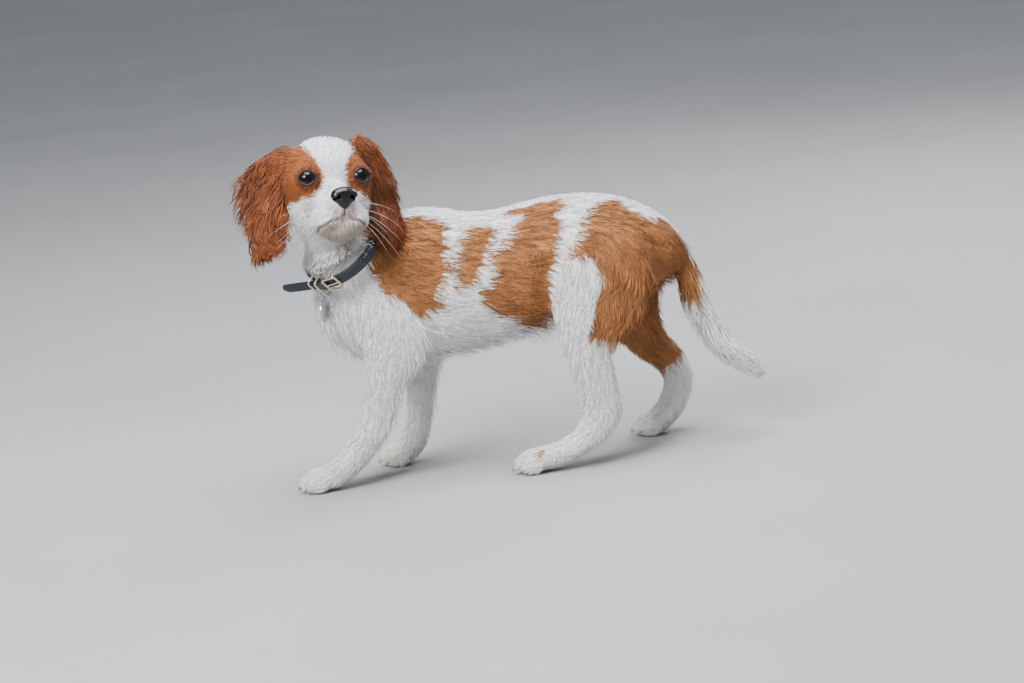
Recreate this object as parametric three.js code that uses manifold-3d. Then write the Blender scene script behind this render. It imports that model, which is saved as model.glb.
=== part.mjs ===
// Cavalier King Charles spaniel puppy, standing in profile with its head turned back towards the viewer.
// Units are millimetres. +Z is up, the dog faces -X and its left side is -Y. Soles stand on z = 0.
import * as THREE from 'three';
import { mergeVertices } from 'three/addons/utils/BufferGeometryUtils.js';
import Module from 'manifold-3d';

const wasm = await Module();
wasm.setup();

const GAP = 0.3;
const RAD = Math.PI / 180;
const FLOOR = 0;

// Colours, roughness and metalness of each material.
const FINISH = {
  white: { color: 0xe9ebef, roughness: 0.85, metalness: 0 },
  chestnut: { color: 0xa8622f, roughness: 0.8, metalness: 0 },
  deepRed: { color: 0x8c4018, roughness: 0.75, metalness: 0 },
  nose: { color: 0x141214, roughness: 0.35, metalness: 0 },
  eye: { color: 0x120b08, roughness: 0.05, metalness: 0 },
  leather: { color: 0x15171f, roughness: 0.5, metalness: 0 },
  steel: { color: 0xb9bcc0, roughness: 0.25, metalness: 1 },
};

// Small seeded random source, so every build gives the same coat.
let seedState = 20240611;
function random() {
  seedState = (seedState * 1664525 + 1013904223) % 4294967296;
  return seedState / 4294967296;
}
function vary(value, share) {
  return value * (1 + share * (2 * random() - 1));
}
const vec = (x, y, z) => new THREE.Vector3(x, y, z);
const mix = (...parts) => parts.reduce((sum, [v, k]) => sum.addScaledVector(v, k), vec(0, 0, 0));

// Value between the rows of a table at a fractional row number, on a smooth curve through the rows.
function between(rows, t) {
  const last = rows.length - 1;
  const i = Math.min(Math.max(Math.floor(t), 0), last - 1);
  const f = t - i;
  const [a, b, c, d] = [i - 1, i, i + 1, i + 2].map((k) => rows[Math.min(Math.max(k, 0), last)]);
  return b.map((_, k) => {
    const slopeIn = (c[k] - a[k]) / 2;
    const slopeOut = (d[k] - b[k]) / 2;
    const rise = c[k] - b[k];
    return b[k] + f * (slopeIn + f * (3 * rise - 2 * slopeIn - slopeOut + f * (slopeIn + slopeOut - 2 * rise)));
  });
}

// A body length with an oval section that changes along its spine.
// Each row holds x, y, z, then the half width to the side, above the spine and below it.
// "Above" is the direction (spine x side): the back of the trunk, the rear of a leg, the sole of a foot.
class Length {
  constructor(rows, { side = vec(0, 1, 0), straight = false, startCap = 8, endCap = 8 } = {}) {
    this.rows = rows;
    this.sideHint = side;
    this.straight = straight;
    this.startCap = startCap;
    this.endCap = endCap;
    this.last = rows.length - 1;
  }

  frame(t) {
    const [x, y, z, side, above, below] = between(this.rows, t);
    const step = 0.02;
    const a = between(this.rows, Math.max(t - step, 0));
    const b = between(this.rows, Math.min(t + step, this.last));
    const along = this.straight ? vec(1, 0, 0) : vec(b[0] - a[0], b[1] - a[1], b[2] - a[2]).normalize();
    const across = this.sideHint.clone().addScaledVector(along, -this.sideHint.dot(along)).normalize();
    const over = along.clone().cross(across);
    return { centre: vec(x, y, z), along, across, over, side, above, below };
  }

  // Point on the surface, its outward direction and the local frame. 0 degrees is the side, 90 is above.
  // Below 0 and past the last row, t runs over the rounded ends.
  surface(t, degrees) {
    const inside = Math.min(Math.max(t, 0), this.last);
    const f = this.frame(inside);
    const tilt = 90 * RAD * Math.min(Math.max(t - inside, -1), 1);
    const cap = t < 0 ? this.startCap : this.endCap;
    const c = Math.cos(degrees * RAD);
    const s = Math.sin(degrees * RAD);
    const height = s >= 0 ? f.above : f.below;
    const point = f.centre.clone()
      .addScaledVector(f.across, c * f.side * Math.cos(tilt))
      .addScaledVector(f.over, s * height * Math.cos(tilt))
      .addScaledVector(f.along, cap * Math.sin(tilt));
    const out = f.across.clone().multiplyScalar(c / f.side).addScaledVector(f.over, s / height).normalize()
      .multiplyScalar(Math.cos(tilt)).addScaledVector(f.along, Math.sin(tilt)).normalize();
    return { point, out, ...f };
  }

  geometry(grow = 0, perSpan = 2, segments = 16, capRings = 2) {
    const points = [];
    const ring = (t, shrink, shift) => {
      const f = this.frame(t);
      for (let j = 0; j < segments; j += 1) {
        const angle = (360 * j) / segments;
        const c = Math.cos(angle * RAD);
        const s = Math.sin(angle * RAD);
        const height = (s >= 0 ? f.above : f.below) + grow;
        points.push(f.centre.clone()
          .addScaledVector(f.across, c * (f.side + grow) * shrink)
          .addScaledVector(f.over, s * height * shrink)
          .addScaledVector(f.along, shift));
      }
    };
    const pole = (t, shift) => {
      const f = this.frame(t);
      points.push(f.centre.clone().addScaledVector(f.along, shift));
    };
    const start = this.startCap + grow;
    const end = this.endCap + grow;
    pole(0, -start);
    for (let k = capRings; k > 0; k -= 1) {
      const a = (90 * k) / (capRings + 1);
      ring(0, Math.cos(a * RAD), -start * Math.sin(a * RAD));
    }
    const bands = this.last * perSpan;
    for (let i = 0; i <= bands; i += 1) {
      ring((i * this.last) / bands, 1, 0);
    }
    for (let k = 1; k <= capRings; k += 1) {
      const a = (90 * k) / (capRings + 1);
      ring(this.last, Math.cos(a * RAD), end * Math.sin(a * RAD));
    }
    pole(this.last, end);
    return shell(points, segments);
  }
}

// Closed skin over rings of points that run from a first pole to a last pole.
function shell(points, segments) {
  const index = [];
  const rings = (points.length - 2) / segments;
  const at = (r, j) => 1 + r * segments + (j % segments);
  for (let j = 0; j < segments; j += 1) {
    index.push(0, at(0, j + 1), at(0, j));
    index.push(points.length - 1, at(rings - 1, j), at(rings - 1, j + 1));
  }
  for (let r = 0; r < rings - 1; r += 1) {
    for (let j = 0; j < segments; j += 1) {
      index.push(at(r, j), at(r, j + 1), at(r + 1, j));
      index.push(at(r + 1, j), at(r, j + 1), at(r + 1, j + 1));
    }
  }
  return meshOf(points, index);
}

function meshOf(points, index) {
  const geometry = new THREE.BufferGeometry();
  geometry.setAttribute('position', new THREE.Float32BufferAttribute(points.flatMap((p) => p.toArray()), 3));
  geometry.setIndex(index);
  return geometry;
}

// Joining and cutting.
function solid(geometry) {
  const plain = geometry.clone();
  plain.deleteAttribute('normal');
  plain.deleteAttribute('uv');
  const merged = mergeVertices(plain, 1e-4);
  return new wasm.Manifold(new wasm.Mesh({
    numProp: 3,
    vertProperties: new Float32Array(merged.attributes.position.array),
    triVerts: new Uint32Array(merged.index.array),
  }));
}
function joined(list) {
  return list.reduce((all, piece) => all.add(piece));
}
function without(body, cutters) {
  return cutters.reduce((left, cutter) => left.subtract(cutter), body);
}
// The largest closed surface, with loose scraps and sealed hollows left out.
function largest(body) {
  const size = (piece) => Math.abs(piece.volume());
  return body.decompose().reduce((best, piece) => (size(piece) > size(best) ? piece : best));
}
function geometryOf(body) {
  const mesh = body.getMesh();
  const geometry = new THREE.BufferGeometry();
  const positions = new Float32Array(mesh.numVert * 3);
  for (let i = 0; i < mesh.numVert; i += 1) {
    for (let k = 0; k < 3; k += 1) {
      positions[3 * i + k] = mesh.vertProperties[mesh.numProp * i + k];
    }
  }
  geometry.setAttribute('position', new THREE.BufferAttribute(positions, 3));
  geometry.setIndex(new THREE.BufferAttribute(new Uint32Array(mesh.triVerts), 1));
  geometry.computeVertexNormals();
  return geometry;
}

// One flat, tapered lock of coat. It starts sunk in the body, lies along "lie" and bends by "bend".
const LOCK_STATIONS = [0, 0.42, 0.78];
const LOCK_WIDTHS = [0.75, 1, 0.62];
const LOCK_DEPTHS = [1, 0.95, 0.6];
function lockGeometry(lock, grow = 0) {
  const { root, lie, out, length, width, depth, sink, lift, bend } = lock;
  const side = lie.clone().cross(out).normalize();
  const over = side.clone().cross(lie).normalize();
  const spine = (s) => root.clone()
    .addScaledVector(lie, s * length)
    .addScaledVector(over, -sink * (1 - s) ** 2 + lift * s)
    .addScaledVector(bend, s * s * length);
  const points = [spine(-grow / length)];
  LOCK_STATIONS.forEach((s, k) => {
    const half = (width * LOCK_WIDTHS[k]) / 2 + grow;
    const thick = (depth * LOCK_DEPTHS[k]) / 2 + grow;
    const c = spine(s);
    points.push(mix([c, 1], [over, 1.3 * thick]));
    points.push(mix([c, 1], [side, half], [over, -0.7 * thick]));
    points.push(mix([c, 1], [side, -half], [over, -0.7 * thick]));
  });
  points.push(spine(1 + (2 * grow) / length));
  return shell(points, 3);
}

// Locks set in staggered rows over a stretch of a body length.
// "lieOf" gives the lie and the bend from the surface frame, the angle and the row's share of the stretch.
function lockField(length, field, lieOf) {
  const { from, to, rows, startAngle, endAngle, across, size } = field;
  const locks = [];
  for (let r = 0; r < rows; r += 1) {
    const share = rows > 1 ? r / (rows - 1) : 0.5;
    const t = from + (to - from) * share;
    for (let k = 0; k < across; k += 1) {
      const stagger = r % 2 ? 0.5 : 0;
      const angle = startAngle + ((endAngle - startAngle) * (k + stagger + 0.25 * random())) / across;
      const spot = length.surface(t, angle);
      const { lie, bend } = lieOf(spot, angle, share);
      lie.addScaledVector(spot.out, -lie.dot(spot.out)).normalize();
      locks.push({
        root: spot.point,
        lie,
        out: spot.out,
        length: vary(size.length, 0.15),
        width: vary(size.width, 0.12),
        depth: size.depth,
        sink: size.sink,
        lift: vary(size.lift, 0.3),
        bend,
      });
    }
  }
  return locks;
}

// TRUNK. Rows: x, top of the back, height of the widest line, underline, half width.
const TRUNK_PROFILE = [
  { x: -140, top: 186, wide: 156, under: 132, half: 25 },
  { x: -128, top: 206, wide: 157, under: 113, half: 39 },
  { x: -108, top: 224, wide: 160, under: 102, half: 47 },
  { x: -84, top: 236, wide: 162, under: 99, half: 50 },
  { x: -58, top: 238.5, wide: 162, under: 100, half: 50 },
  { x: -30, top: 232, wide: 162, under: 103, half: 51 },
  { x: 0, top: 230, wide: 164, under: 109, half: 51 },
  { x: 30, top: 234, wide: 170, under: 117, half: 48 },
  { x: 58, top: 237, wide: 176, under: 122, half: 46 },
  { x: 84, top: 236, wide: 180, under: 127, half: 48 },
  { x: 108, top: 229, wide: 180, under: 133, half: 46 },
  { x: 128, top: 216, wide: 176, under: 142, half: 38 },
  { x: 139, top: 203, wide: 172, under: 150, half: 28 },
];
const trunk = new Length(
  TRUNK_PROFILE.map((p) => [p.x, 0, p.wide, p.half, p.top - p.wide, p.wide - p.under]),
  { straight: true, startCap: 9, endCap: 9 },
);

// HEAD. Its own frame starts midway between the eyes: forward, to the dog's left, up.
const HEAD = {
  eyeMid: vec(-128.6, -72, 280.7),
  yaw: -71.3,
  pitch: 11.1,
  roll: -5.9,
};
const headForward = vec(
  Math.cos(HEAD.pitch * RAD) * Math.cos(HEAD.yaw * RAD),
  Math.cos(HEAD.pitch * RAD) * Math.sin(HEAD.yaw * RAD),
  Math.sin(HEAD.pitch * RAD),
);
const levelLeft = vec(0, 0, 1).cross(headForward).normalize();
const levelUp = headForward.clone().cross(levelLeft);
const headLeft = levelLeft.clone().multiplyScalar(Math.cos(HEAD.roll * RAD))
  .addScaledVector(levelUp, Math.sin(HEAD.roll * RAD));
const headUp = headForward.clone().cross(headLeft);
const headMatrix = new THREE.Matrix4().makeBasis(headForward, headLeft, headUp).setPosition(HEAD.eyeMid);
const inHead = (f, l, u) => vec(f, l, u).applyMatrix4(headMatrix);
const headTurn = (f, l, u) => vec(f, l, u).transformDirection(headMatrix);

// Masses of the head: centre, half sizes and how softly each one blends into those before it.
const HEAD_MASSES = [
  { name: 'cranium', at: [-33, 0, 5], half: [35, 35, 33], blend: 1 },
  { name: 'cheek', at: [-25, 16, -16], half: [20, 19, 22], blend: 12, paired: true },
  { name: 'throat', at: [-34, 0, -32], half: [27, 26, 23], blend: 16 },
  { name: 'muzzle', at: [8, 0, -25], half: [21, 17, 15], blend: 9 },
  { name: 'flew', at: [6, 11.5, -36], half: [18, 14.5, 14.5], blend: 7, paired: true },
  { name: 'bridge', at: [2, 0, -10], half: [19, 8, 8], blend: 8 },
  { name: 'chin', at: [3, 0, -45.5], half: [19, 14, 10], blend: 6 },
  { name: 'brow', at: [-9, 17, 12], half: [8, 11, 7], blend: 8, paired: true },
  { name: 'under eye', at: [-6, 18, -15], half: [9, 10, 9], blend: 9, paired: true },
];
const HEAD_CENTRE = vec(-16, 0, -13);
const HEAD_REACH = 95;

function ellipsoidDistance(p, at, half) {
  const q = p.map((v, k) => v - at[k]);
  const k0 = Math.hypot(q[0] / half[0], q[1] / half[1], q[2] / half[2]);
  const k1 = Math.hypot(q[0] / half[0] ** 2, q[1] / half[1] ** 2, q[2] / half[2] ** 2);
  return (k0 * (k0 - 1)) / Math.max(k1, 1e-9);
}
function softMin(a, b, blend) {
  const h = Math.max(blend - Math.abs(a - b), 0) / blend;
  return Math.min(a, b) - (h * h * blend) / 4;
}
function headDistance(f, l, u) {
  return HEAD_MASSES.reduce((best, mass) => {
    const p = mass.paired ? [f, Math.abs(l), u] : [f, l, u];
    return softMin(best, ellipsoidDistance(p, mass.at, mass.half), mass.blend);
  }, 1e3);
}
// First point of the head's surface on a ray, in the head's frame.
function headSurface(from, direction) {
  const at = (d) => from.clone().addScaledVector(direction, d);
  const distance = (d) => headDistance(...at(d).toArray());
  let low = 0;
  let high = 2;
  while (distance(high) < 0 && high < HEAD_REACH) {
    low = high;
    high += 2;
  }
  for (let k = 0; k < 24; k += 1) {
    const middle = (low + high) / 2;
    if (distance(middle) < 0) low = middle;
    else high = middle;
  }
  return at(high);
}
const HEAD_DETAIL = 6;
function headGeometry(grow) {
  const ball = new THREE.IcosahedronGeometry(1, HEAD_DETAIL);
  ball.deleteAttribute('normal');
  ball.deleteAttribute('uv');
  const geometry = mergeVertices(ball, 1e-4);
  const position = geometry.attributes.position;
  for (let i = 0; i < position.count; i += 1) {
    const direction = vec(0, 0, 0).fromBufferAttribute(position, i).normalize();
    const point = headSurface(HEAD_CENTRE, direction).addScaledVector(direction, grow).applyMatrix4(headMatrix);
    position.setXYZ(i, point.x, point.y, point.z);
  }
  return geometry;
}

// EYES, with lids round an almond opening that is a little wider than high.
const EYE = { forward: -7.5, aside: 22.5, radius: 10, gazeAside: 12, gazeUp: 4, halfWide: 38, halfHigh: 35 };
const LID = { radius: 1.5, sides: 5, steps: 14 };
function eyeFrame(sign) {
  const centre = vec(EYE.forward, sign * EYE.aside, 0);
  const yaw = sign * EYE.gazeAside * RAD;
  const pitch = EYE.gazeUp * RAD;
  const gaze = vec(Math.cos(pitch) * Math.cos(yaw), Math.cos(pitch) * Math.sin(yaw), Math.sin(pitch));
  const side = vec(0, 0, 1).cross(gaze).normalize();
  return { centre, gaze, side, up: gaze.clone().cross(side) };
}
function lidPoint(frame, angle, radius, scale = 1) {
  const wide = EYE.halfWide * RAD * scale * Math.cos(angle);
  const high = EYE.halfHigh * RAD * scale * Math.sin(angle);
  const tilt = Math.hypot(wide, high);
  return frame.centre.clone()
    .addScaledVector(frame.gaze, radius * Math.cos(tilt))
    .addScaledVector(frame.side, (radius * Math.sin(tilt) * wide) / tilt)
    .addScaledVector(frame.up, (radius * Math.sin(tilt) * high) / tilt);
}
function lidRing(frame) {
  const points = [];
  for (let k = 0; k < LID.steps; k += 1) {
    points.push(lidPoint(frame, (2 * Math.PI * k) / LID.steps, EYE.radius + 0.7));
  }
  return ringPipe(points, LID.radius, LID.sides, frame.gaze).applyMatrix4(headMatrix);
}
// Cone that opens the head in front of the eyeball, inside the lids.
function eyeOpening(frame) {
  const steps = LID.steps;
  const points = [frame.centre.clone()];
  for (const radius of [EYE.radius * 0.9, EYE.radius * 1.7]) {
    for (let k = 0; k < steps; k += 1) {
      points.push(lidPoint(frame, (2 * Math.PI * k) / steps, radius, 0.95));
    }
  }
  points.push(frame.centre.clone().addScaledVector(frame.gaze, EYE.radius * 1.7));
  return shell(points, steps).applyMatrix4(headMatrix);
}

// Closed pipe round a loop of points.
function ringPipe(loop, radius, sides, axis) {
  const points = [];
  const index = [];
  const count = loop.length;
  loop.forEach((p, i) => {
    const along = loop[(i + 1) % count].clone().sub(loop[(i + count - 1) % count]).normalize();
    const across = axis.clone().cross(along).normalize();
    const over = along.clone().cross(across);
    for (let j = 0; j < sides; j += 1) {
      const a = (2 * Math.PI * j) / sides;
      points.push(p.clone().addScaledVector(across, radius * Math.cos(a)).addScaledVector(over, radius * Math.sin(a)));
    }
  });
  for (let i = 0; i < count; i += 1) {
    for (let j = 0; j < sides; j += 1) {
      const a = i * sides + j;
      const b = i * sides + ((j + 1) % sides);
      const c = ((i + 1) % count) * sides + j;
      const d = ((i + 1) % count) * sides + ((j + 1) % sides);
      index.push(a, b, c, c, b, d);
    }
  }
  return meshOf(points, index);
}
// Round bar through a row of points, tapering at both ends.
function bar(points, radius, sides = 5) {
  const rows = points.map((p, i) => {
    const r = i === 0 || i === points.length - 1 ? radius * 0.6 : radius;
    return [p.x, p.y, p.z, r, r, r];
  });
  return new Length(rows, { side: headUp, startCap: radius * 0.5, endCap: radius * 0.5 }).geometry(0, 1, sides, 1);
}

// MOUTH: the line runs from under the nose out and down to both corners. The lips rise beside it.
const MOUTH = { top: -34, drop: 19, sweep: 86, steps: 10, groove: 1.1, lip: 1.5, lipDrop: 2.6 };
function mouthPath(lower, deeper) {
  const points = [];
  for (let i = 0; i <= MOUTH.steps; i += 1) {
    const s = (2 * i) / MOUTH.steps - 1;
    const u = MOUTH.top - MOUTH.drop * Math.abs(s) ** 1.25 - lower;
    const yaw = s * MOUTH.sweep * RAD;
    const direction = vec(Math.cos(yaw), Math.sin(yaw), 0);
    const hit = headSurface(vec(-4, 0, u), direction).addScaledVector(direction, -deeper);
    points.push(hit.applyMatrix4(headMatrix));
  }
  return points;
}

// NOSE leather with two nostrils and a groove down its middle.
const NOSE = { at: [26.2, 0, -17.6], half: [6.5, 10.8, 8.2] };
const NOSTRIL = { forward: 6.5, aside: 5.4, down: 0.8, half: [4, 2.4, 2.2], wingAside: 8.3, wingHalf: [4.5, 2.6, 1] };
function blob(at, half, detail = 2) {
  return new THREE.IcosahedronGeometry(1, detail).scale(...half).translate(...at);
}
function noseGeometry(grow) {
  return blob(NOSE.at, NOSE.half.map((h) => h + grow), 2).applyMatrix4(headMatrix);
}

// EARS: long, set high, carried out from the head. Rows: forward, aside, up, half width, outer and inner depth.
const EAR_RIGHT = {
  face: [0.94, -0.3, 0.15],
  rows: [
    [-32, -30, 23, 10, 6, 6],
    [-34, -43, 10, 17, 6.5, 6],
    [-36, -56, -7, 22, 6.5, 5.5],
    [-37, -60, -20, 24, 6, 5],
    [-37, -59, -32, 23, 5.5, 4.5],
    [-36, -57, -41, 18, 4.5, 4],
  ],
};
const EAR_LEFT = {
  face: [0.8, 0.58, 0.15],
  rows: [
    [-31, 29, 33, 9, 6, 6],
    [-33, 38, 23, 16, 6.5, 6],
    [-35, 47, 5, 20, 6.5, 5.5],
    [-36, 51, -16, 21, 6, 5],
    [-36, 51, -36, 18, 5.5, 4.5],
    [-35, 50, -50, 12, 4.5, 4],
  ],
};
function earLength(ear) {
  const face = headTurn(...ear.face);
  const side = face.clone().cross(headTurn(0, 0, -1));
  const rows = ear.rows.map(([f, l, u, ...size]) => [...inHead(f, l, u).toArray(), ...size]);
  return new Length(rows, { side, startCap: 5, endCap: 4 });
}
const earRight = earLength(EAR_RIGHT);
const earLeft = earLength(EAR_LEFT);

// NECK, from inside the shoulders up into the back of the head.
const neck = new Length([
  [-100, -5, 194, 37, 43, 38],
  [-117, -18, 211, 36, 45, 39],
  [-129, -30, 230, 33, 40, 36],
  [-140, -41, 250, 29, 32, 30],
], { startCap: 10, endCap: 12 });

// LEGS. Rows: x, y, z, half width, then rear and front depth (sole and top along the foot).
const FORELEG_LEFT = [
  [-90, -34, 164, 14, 25, 25],
  [-95, -37, 148, 16, 27, 28],
  [-95, -38, 124, 16, 28, 29],
  [-103, -37, 100, 14.5, 21, 24],
  [-111, -36, 80, 13, 17, 18],
  [-118, -35, 60, 12.5, 16, 16],
  [-129, -34, 42, 12.5, 14.5, 14.5],
  [-143, -33, 26, 13.5, 13.5, 13],
  [-160, -33, 13.5, 15.5, 15.5, 12],
  [-176, -33, 10, 16.5, 12.5, 11],
];
const FORELEG_RIGHT = [
  [-86, 34, 164, 14, 25, 25],
  [-82, 37, 148, 16, 26, 27],
  [-74, 38, 124, 16, 24, 25],
  [-72, 37, 100, 14.5, 18, 19],
  [-76, 36, 80, 13, 14.5, 15.5],
  [-80, 35, 58, 12.5, 13.5, 14],
  [-84, 34, 38, 12.5, 12.5, 13],
  [-90, 33, 22, 13.5, 13, 13],
  [-99, 33, 12, 15.5, 14, 11],
  [-108, 33, 10, 16, 12.5, 10.5],
];
const THIGH_LEFT = [
  [94, -26, 194, 16, 32, 34],
  [92, -33, 172, 19, 42, 42],
  [84, -38, 150, 19, 44, 40],
  [76, -42, 128, 17, 34, 34],
  [70, -45, 106, 14.5, 23, 23],
  [74, -46, 86, 13, 19, 20],
  [77, -46, 68, 12.2, 18, 20],
];
const HIND_FOOT_LEFT = [
  [78, -46, 62, 12, 18, 20],
  [79, -46, 49, 12, 17.5, 20],
  [70, -46, 34, 12, 16, 15],
  [56, -46, 22, 12.5, 12.5, 12],
  [38, -45.5, 14, 14, 14.5, 11.5],
  [22, -45, 11, 16, 13, 11.5],
  [13, -45, 10, 16, 12.5, 10.5],
];
const THIGH_RIGHT = [
  [98, 26, 194, 16, 34, 34],
  [100, 33, 172, 19, 44, 40],
  [102, 38, 150, 19, 46, 34],
  [106, 42, 128, 17, 40, 27],
  [114, 45, 106, 14.5, 30, 21],
  [128, 47, 84, 13, 20, 17],
  [144, 48, 68, 12, 16, 15],
];
const HIND_FOOT_RIGHT = [
  [148, 48, 64, 12, 15.5, 14.5],
  [152, 48, 52, 12, 14, 15],
  [151, 48, 38, 12, 13, 15],
  [143, 48, 23, 12.5, 12.5, 14],
  [132, 48, 13, 15, 14.5, 12.5],
  [122, 48, 10, 16, 12.5, 10.5],
];
const legOptions = { startCap: 12, endCap: 12 };
const forelegLeft = new Length(FORELEG_LEFT, legOptions);
const forelegRight = new Length(FORELEG_RIGHT, legOptions);
const thighLeft = new Length(THIGH_LEFT, { startCap: 12, endCap: 6 });
const thighRight = new Length(THIGH_RIGHT, { startCap: 12, endCap: 6 });
const hindFootLeft = new Length(HIND_FOOT_LEFT, { startCap: 5, endCap: 10 });
const hindFootRight = new Length(HIND_FOOT_RIGHT, { startCap: 5, endCap: 10 });

// Four toes at the front of each paw, the inner pair further forward, each with a claw.
const TOE = { half: [11, 5.2, 8.5], inner: 4.6, outer: 12.2, innerForward: 2, outerForward: -4.5, height: 7.5 };
const CLAW = { length: 8, radius: 1.7, forward: 8, height: 6 };
function pawPieces(front) {
  const pieces = [];
  for (const aside of [-TOE.outer, -TOE.inner, TOE.inner, TOE.outer]) {
    const isInner = Math.abs(aside) < TOE.outer;
    const forward = isInner ? TOE.innerForward : TOE.outerForward;
    const x = front.x - forward;
    const toe = new THREE.SphereGeometry(1, 6, 4).rotateZ(90 * RAD).scale(...TOE.half);
    pieces.push(solid(toe.translate(x, front.y + aside, TOE.height)));
    const claw = new THREE.ConeGeometry(CLAW.radius, CLAW.length, 4);
    claw.rotateZ(118 * RAD).translate(x - CLAW.forward - 3, front.y + aside, CLAW.height - 1.5);
    pieces.push(solid(claw));
  }
  return pieces;
}
const PAW_FRONTS = {
  foreLeft: vec(-180, -33, 0),
  foreRight: vec(-110, 33, 0),
  hindLeft: vec(9, -45, 0),
  hindRight: vec(119, 48, 0),
};
const belowFloor = solid(new THREE.BoxGeometry(800, 400, 60).translate(0, 0, FLOOR - 30));

// TAIL, carried low with a curled tip.
const tail = new Length([
  [134, 0, 200, 13, 12, 12],
  [150, 1, 184, 13, 14, 13],
  [162, 3, 160, 13, 13, 13],
  [170, 4, 132, 12, 12, 12],
  [180, 5, 105, 12, 12, 12],
  [193, 5, 84, 12, 12, 12],
  [208, 5, 70, 10.5, 11, 10],
  [217, 5, 60, 7, 7, 7],
], { startCap: 10, endCap: 5 });

// COLLAR: a leather strap round the neck with its loose end, two metal frames, a split ring and a tag.
const COLLAR = {
  centre: vec(-129, -28, 214),
  normal: vec(-0.53, -0.46, 0.71).normalize(),
  halfAcross: 37,
  halfDeep: 40,
  height: 10.6,
  thickness: 2.4,
  steps: 28,
};
const collarSide = vec(0, -1, 0).addScaledVector(COLLAR.normal, COLLAR.normal.y).normalize();
const collarFront = collarSide.clone().cross(COLLAR.normal);
// Point on the collar's middle line: 0 degrees faces the dog's left, 90 degrees its front.
function collarPoint(degrees, extra = 0) {
  const c = Math.cos(degrees * RAD) * (COLLAR.halfAcross + extra);
  const s = Math.sin(degrees * RAD) * (COLLAR.halfDeep + extra);
  return COLLAR.centre.clone().addScaledVector(collarSide, c).addScaledVector(collarFront, s);
}
function strapGeometry(grow) {
  const points = [];
  const index = [];
  const half = COLLAR.thickness / 2 + grow;
  const tall = COLLAR.height / 2 + grow;
  for (let i = 0; i < COLLAR.steps; i += 1) {
    const degrees = (360 * i) / COLLAR.steps;
    for (const [extra, rise] of [[half, tall], [-half, tall], [-half, -tall], [half, -tall]]) {
      points.push(collarPoint(degrees, extra).addScaledVector(COLLAR.normal, rise));
    }
  }
  const at = (i, j) => (i % COLLAR.steps) * 4 + (j % 4);
  for (let i = 0; i < COLLAR.steps; i += 1) {
    for (let j = 0; j < 4; j += 1) {
      index.push(at(i, j), at(i, j + 1), at(i + 1, j));
      index.push(at(i + 1, j), at(i, j + 1), at(i + 1, j + 1));
    }
  }
  return meshOf(points, index);
}

// Rectangular loop of round wire with cut corners, spread over two directions.
function wireLoop(centre, first, second, length, height, wire, grow) {
  const [a, b] = [length / 2, height / 2];
  const c = 1.5;
  const corners = [[a - c, b], [a, b - c], [a, c - b], [a - c, -b], [c - a, -b], [-a, c - b], [-a, b - c], [c - a, b]];
  const axis = first.clone().cross(second);
  const loop = corners.map(([x, z]) => mix([centre, 1], [first, x], [second, z]));
  return solid(ringPipe(loop, wire + grow, 6, axis));
}
// Flat strip of leather through a row of points, standing along "up", with a rounded end.
function strip(points, up, height, thickness, grow) {
  const skin = [];
  const last = points.length - 1;
  const ring = (i, tall, shift) => {
    const along = points[Math.min(i + 1, last)].clone().sub(points[Math.max(i - 1, 0)]).normalize();
    const out = along.clone().cross(up).normalize();
    const [a, b] = [thickness / 2 + grow, tall / 2 + grow];
    for (const [x, z] of [[a, -b], [-a, -b], [-a, b], [a, b]]) {
      skin.push(mix([points[i], 1], [out, x], [up, z], [along, shift]));
    }
  };
  skin.push(points[0].clone());
  points.forEach((_, i) => ring(i, height, i === 0 ? -grow : 0));
  ring(last, height * 0.86, height * 0.3);
  ring(last, height * 0.45, height * 0.46 + grow);
  const end = points[last].clone().sub(points[last - 1]).normalize();
  skin[0].addScaledVector(points[1].clone().sub(points[0]).normalize(), -grow);
  skin.push(mix([points[last], 1], [end, height * 0.46 + grow]));
  return solid(shell(skin, 4));
}

// Put a finished body into the scene graph as a mesh that turns about its own pivot.
const dog = new THREE.Group();
function place(name, body, pivot, finish) {
  const geometry = geometryOf(largest(body));
  geometry.translate(-pivot.x, -pivot.y, -pivot.z);
  const mesh = new THREE.Mesh(geometry, new THREE.MeshStandardMaterial(finish));
  mesh.name = name;
  mesh.position.copy(pivot);
  dog.add(mesh);
}

// COAT. Each field is a stretch of a body length with the size of its locks and the way they lie.
const DOWN = vec(0, 0, -1);
const BACK = vec(1, 0, 0);

const EAR_FIELD = {
  from: 0.5, to: 4.6, rows: 5, startAngle: -20, endAngle: 200, across: 5,
  size: { length: 24, width: 14, depth: 3.4, sink: 3, lift: 1.5 },
};
// Ear locks hang along the leather, spread to both edges and curl in again.
function earLie(spot, angle) {
  const aside = Math.cos(angle * RAD);
  return {
    lie: mix([spot.along, 1], [spot.across, 0.35 * aside]),
    bend: mix([spot.across, -0.16 * aside], [DOWN, 0.08]),
  };
}
const CHEST_FIELD = {
  from: -0.55, to: 2.1, rows: 4, startAngle: 165, endAngle: 375, across: 5,
  size: { length: 27, width: 17, depth: 3.6, sink: 4, lift: 1 },
};
const chestLie = () => ({ lie: mix([DOWN, 1], [BACK, 0.45]), bend: mix([BACK, 0.16]) });
const BELLY_FIELD = {
  from: 3.4, to: 8.4, rows: 5, startAngle: 238, endAngle: 302, across: 3,
  size: { length: 25, width: 15, depth: 3.4, sink: 3.5, lift: 1.5 },
};
const bellyLie = () => ({ lie: mix([BACK, 1], [DOWN, 0.35]), bend: mix([DOWN, 0.1]) });
const FORELEG_FIELD = {
  from: 1.9, to: 4.6, rows: 4, startAngle: 55, endAngle: 125, across: 2,
  size: { length: 24, width: 10, depth: 3, sink: 3, lift: 2 },
};
const THIGH_FIELD = {
  from: 0.9, to: 4.2, rows: 4, startAngle: 50, endAngle: 130, across: 3,
  size: { length: 27, width: 13, depth: 3.4, sink: 3, lift: 3 },
};
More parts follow.
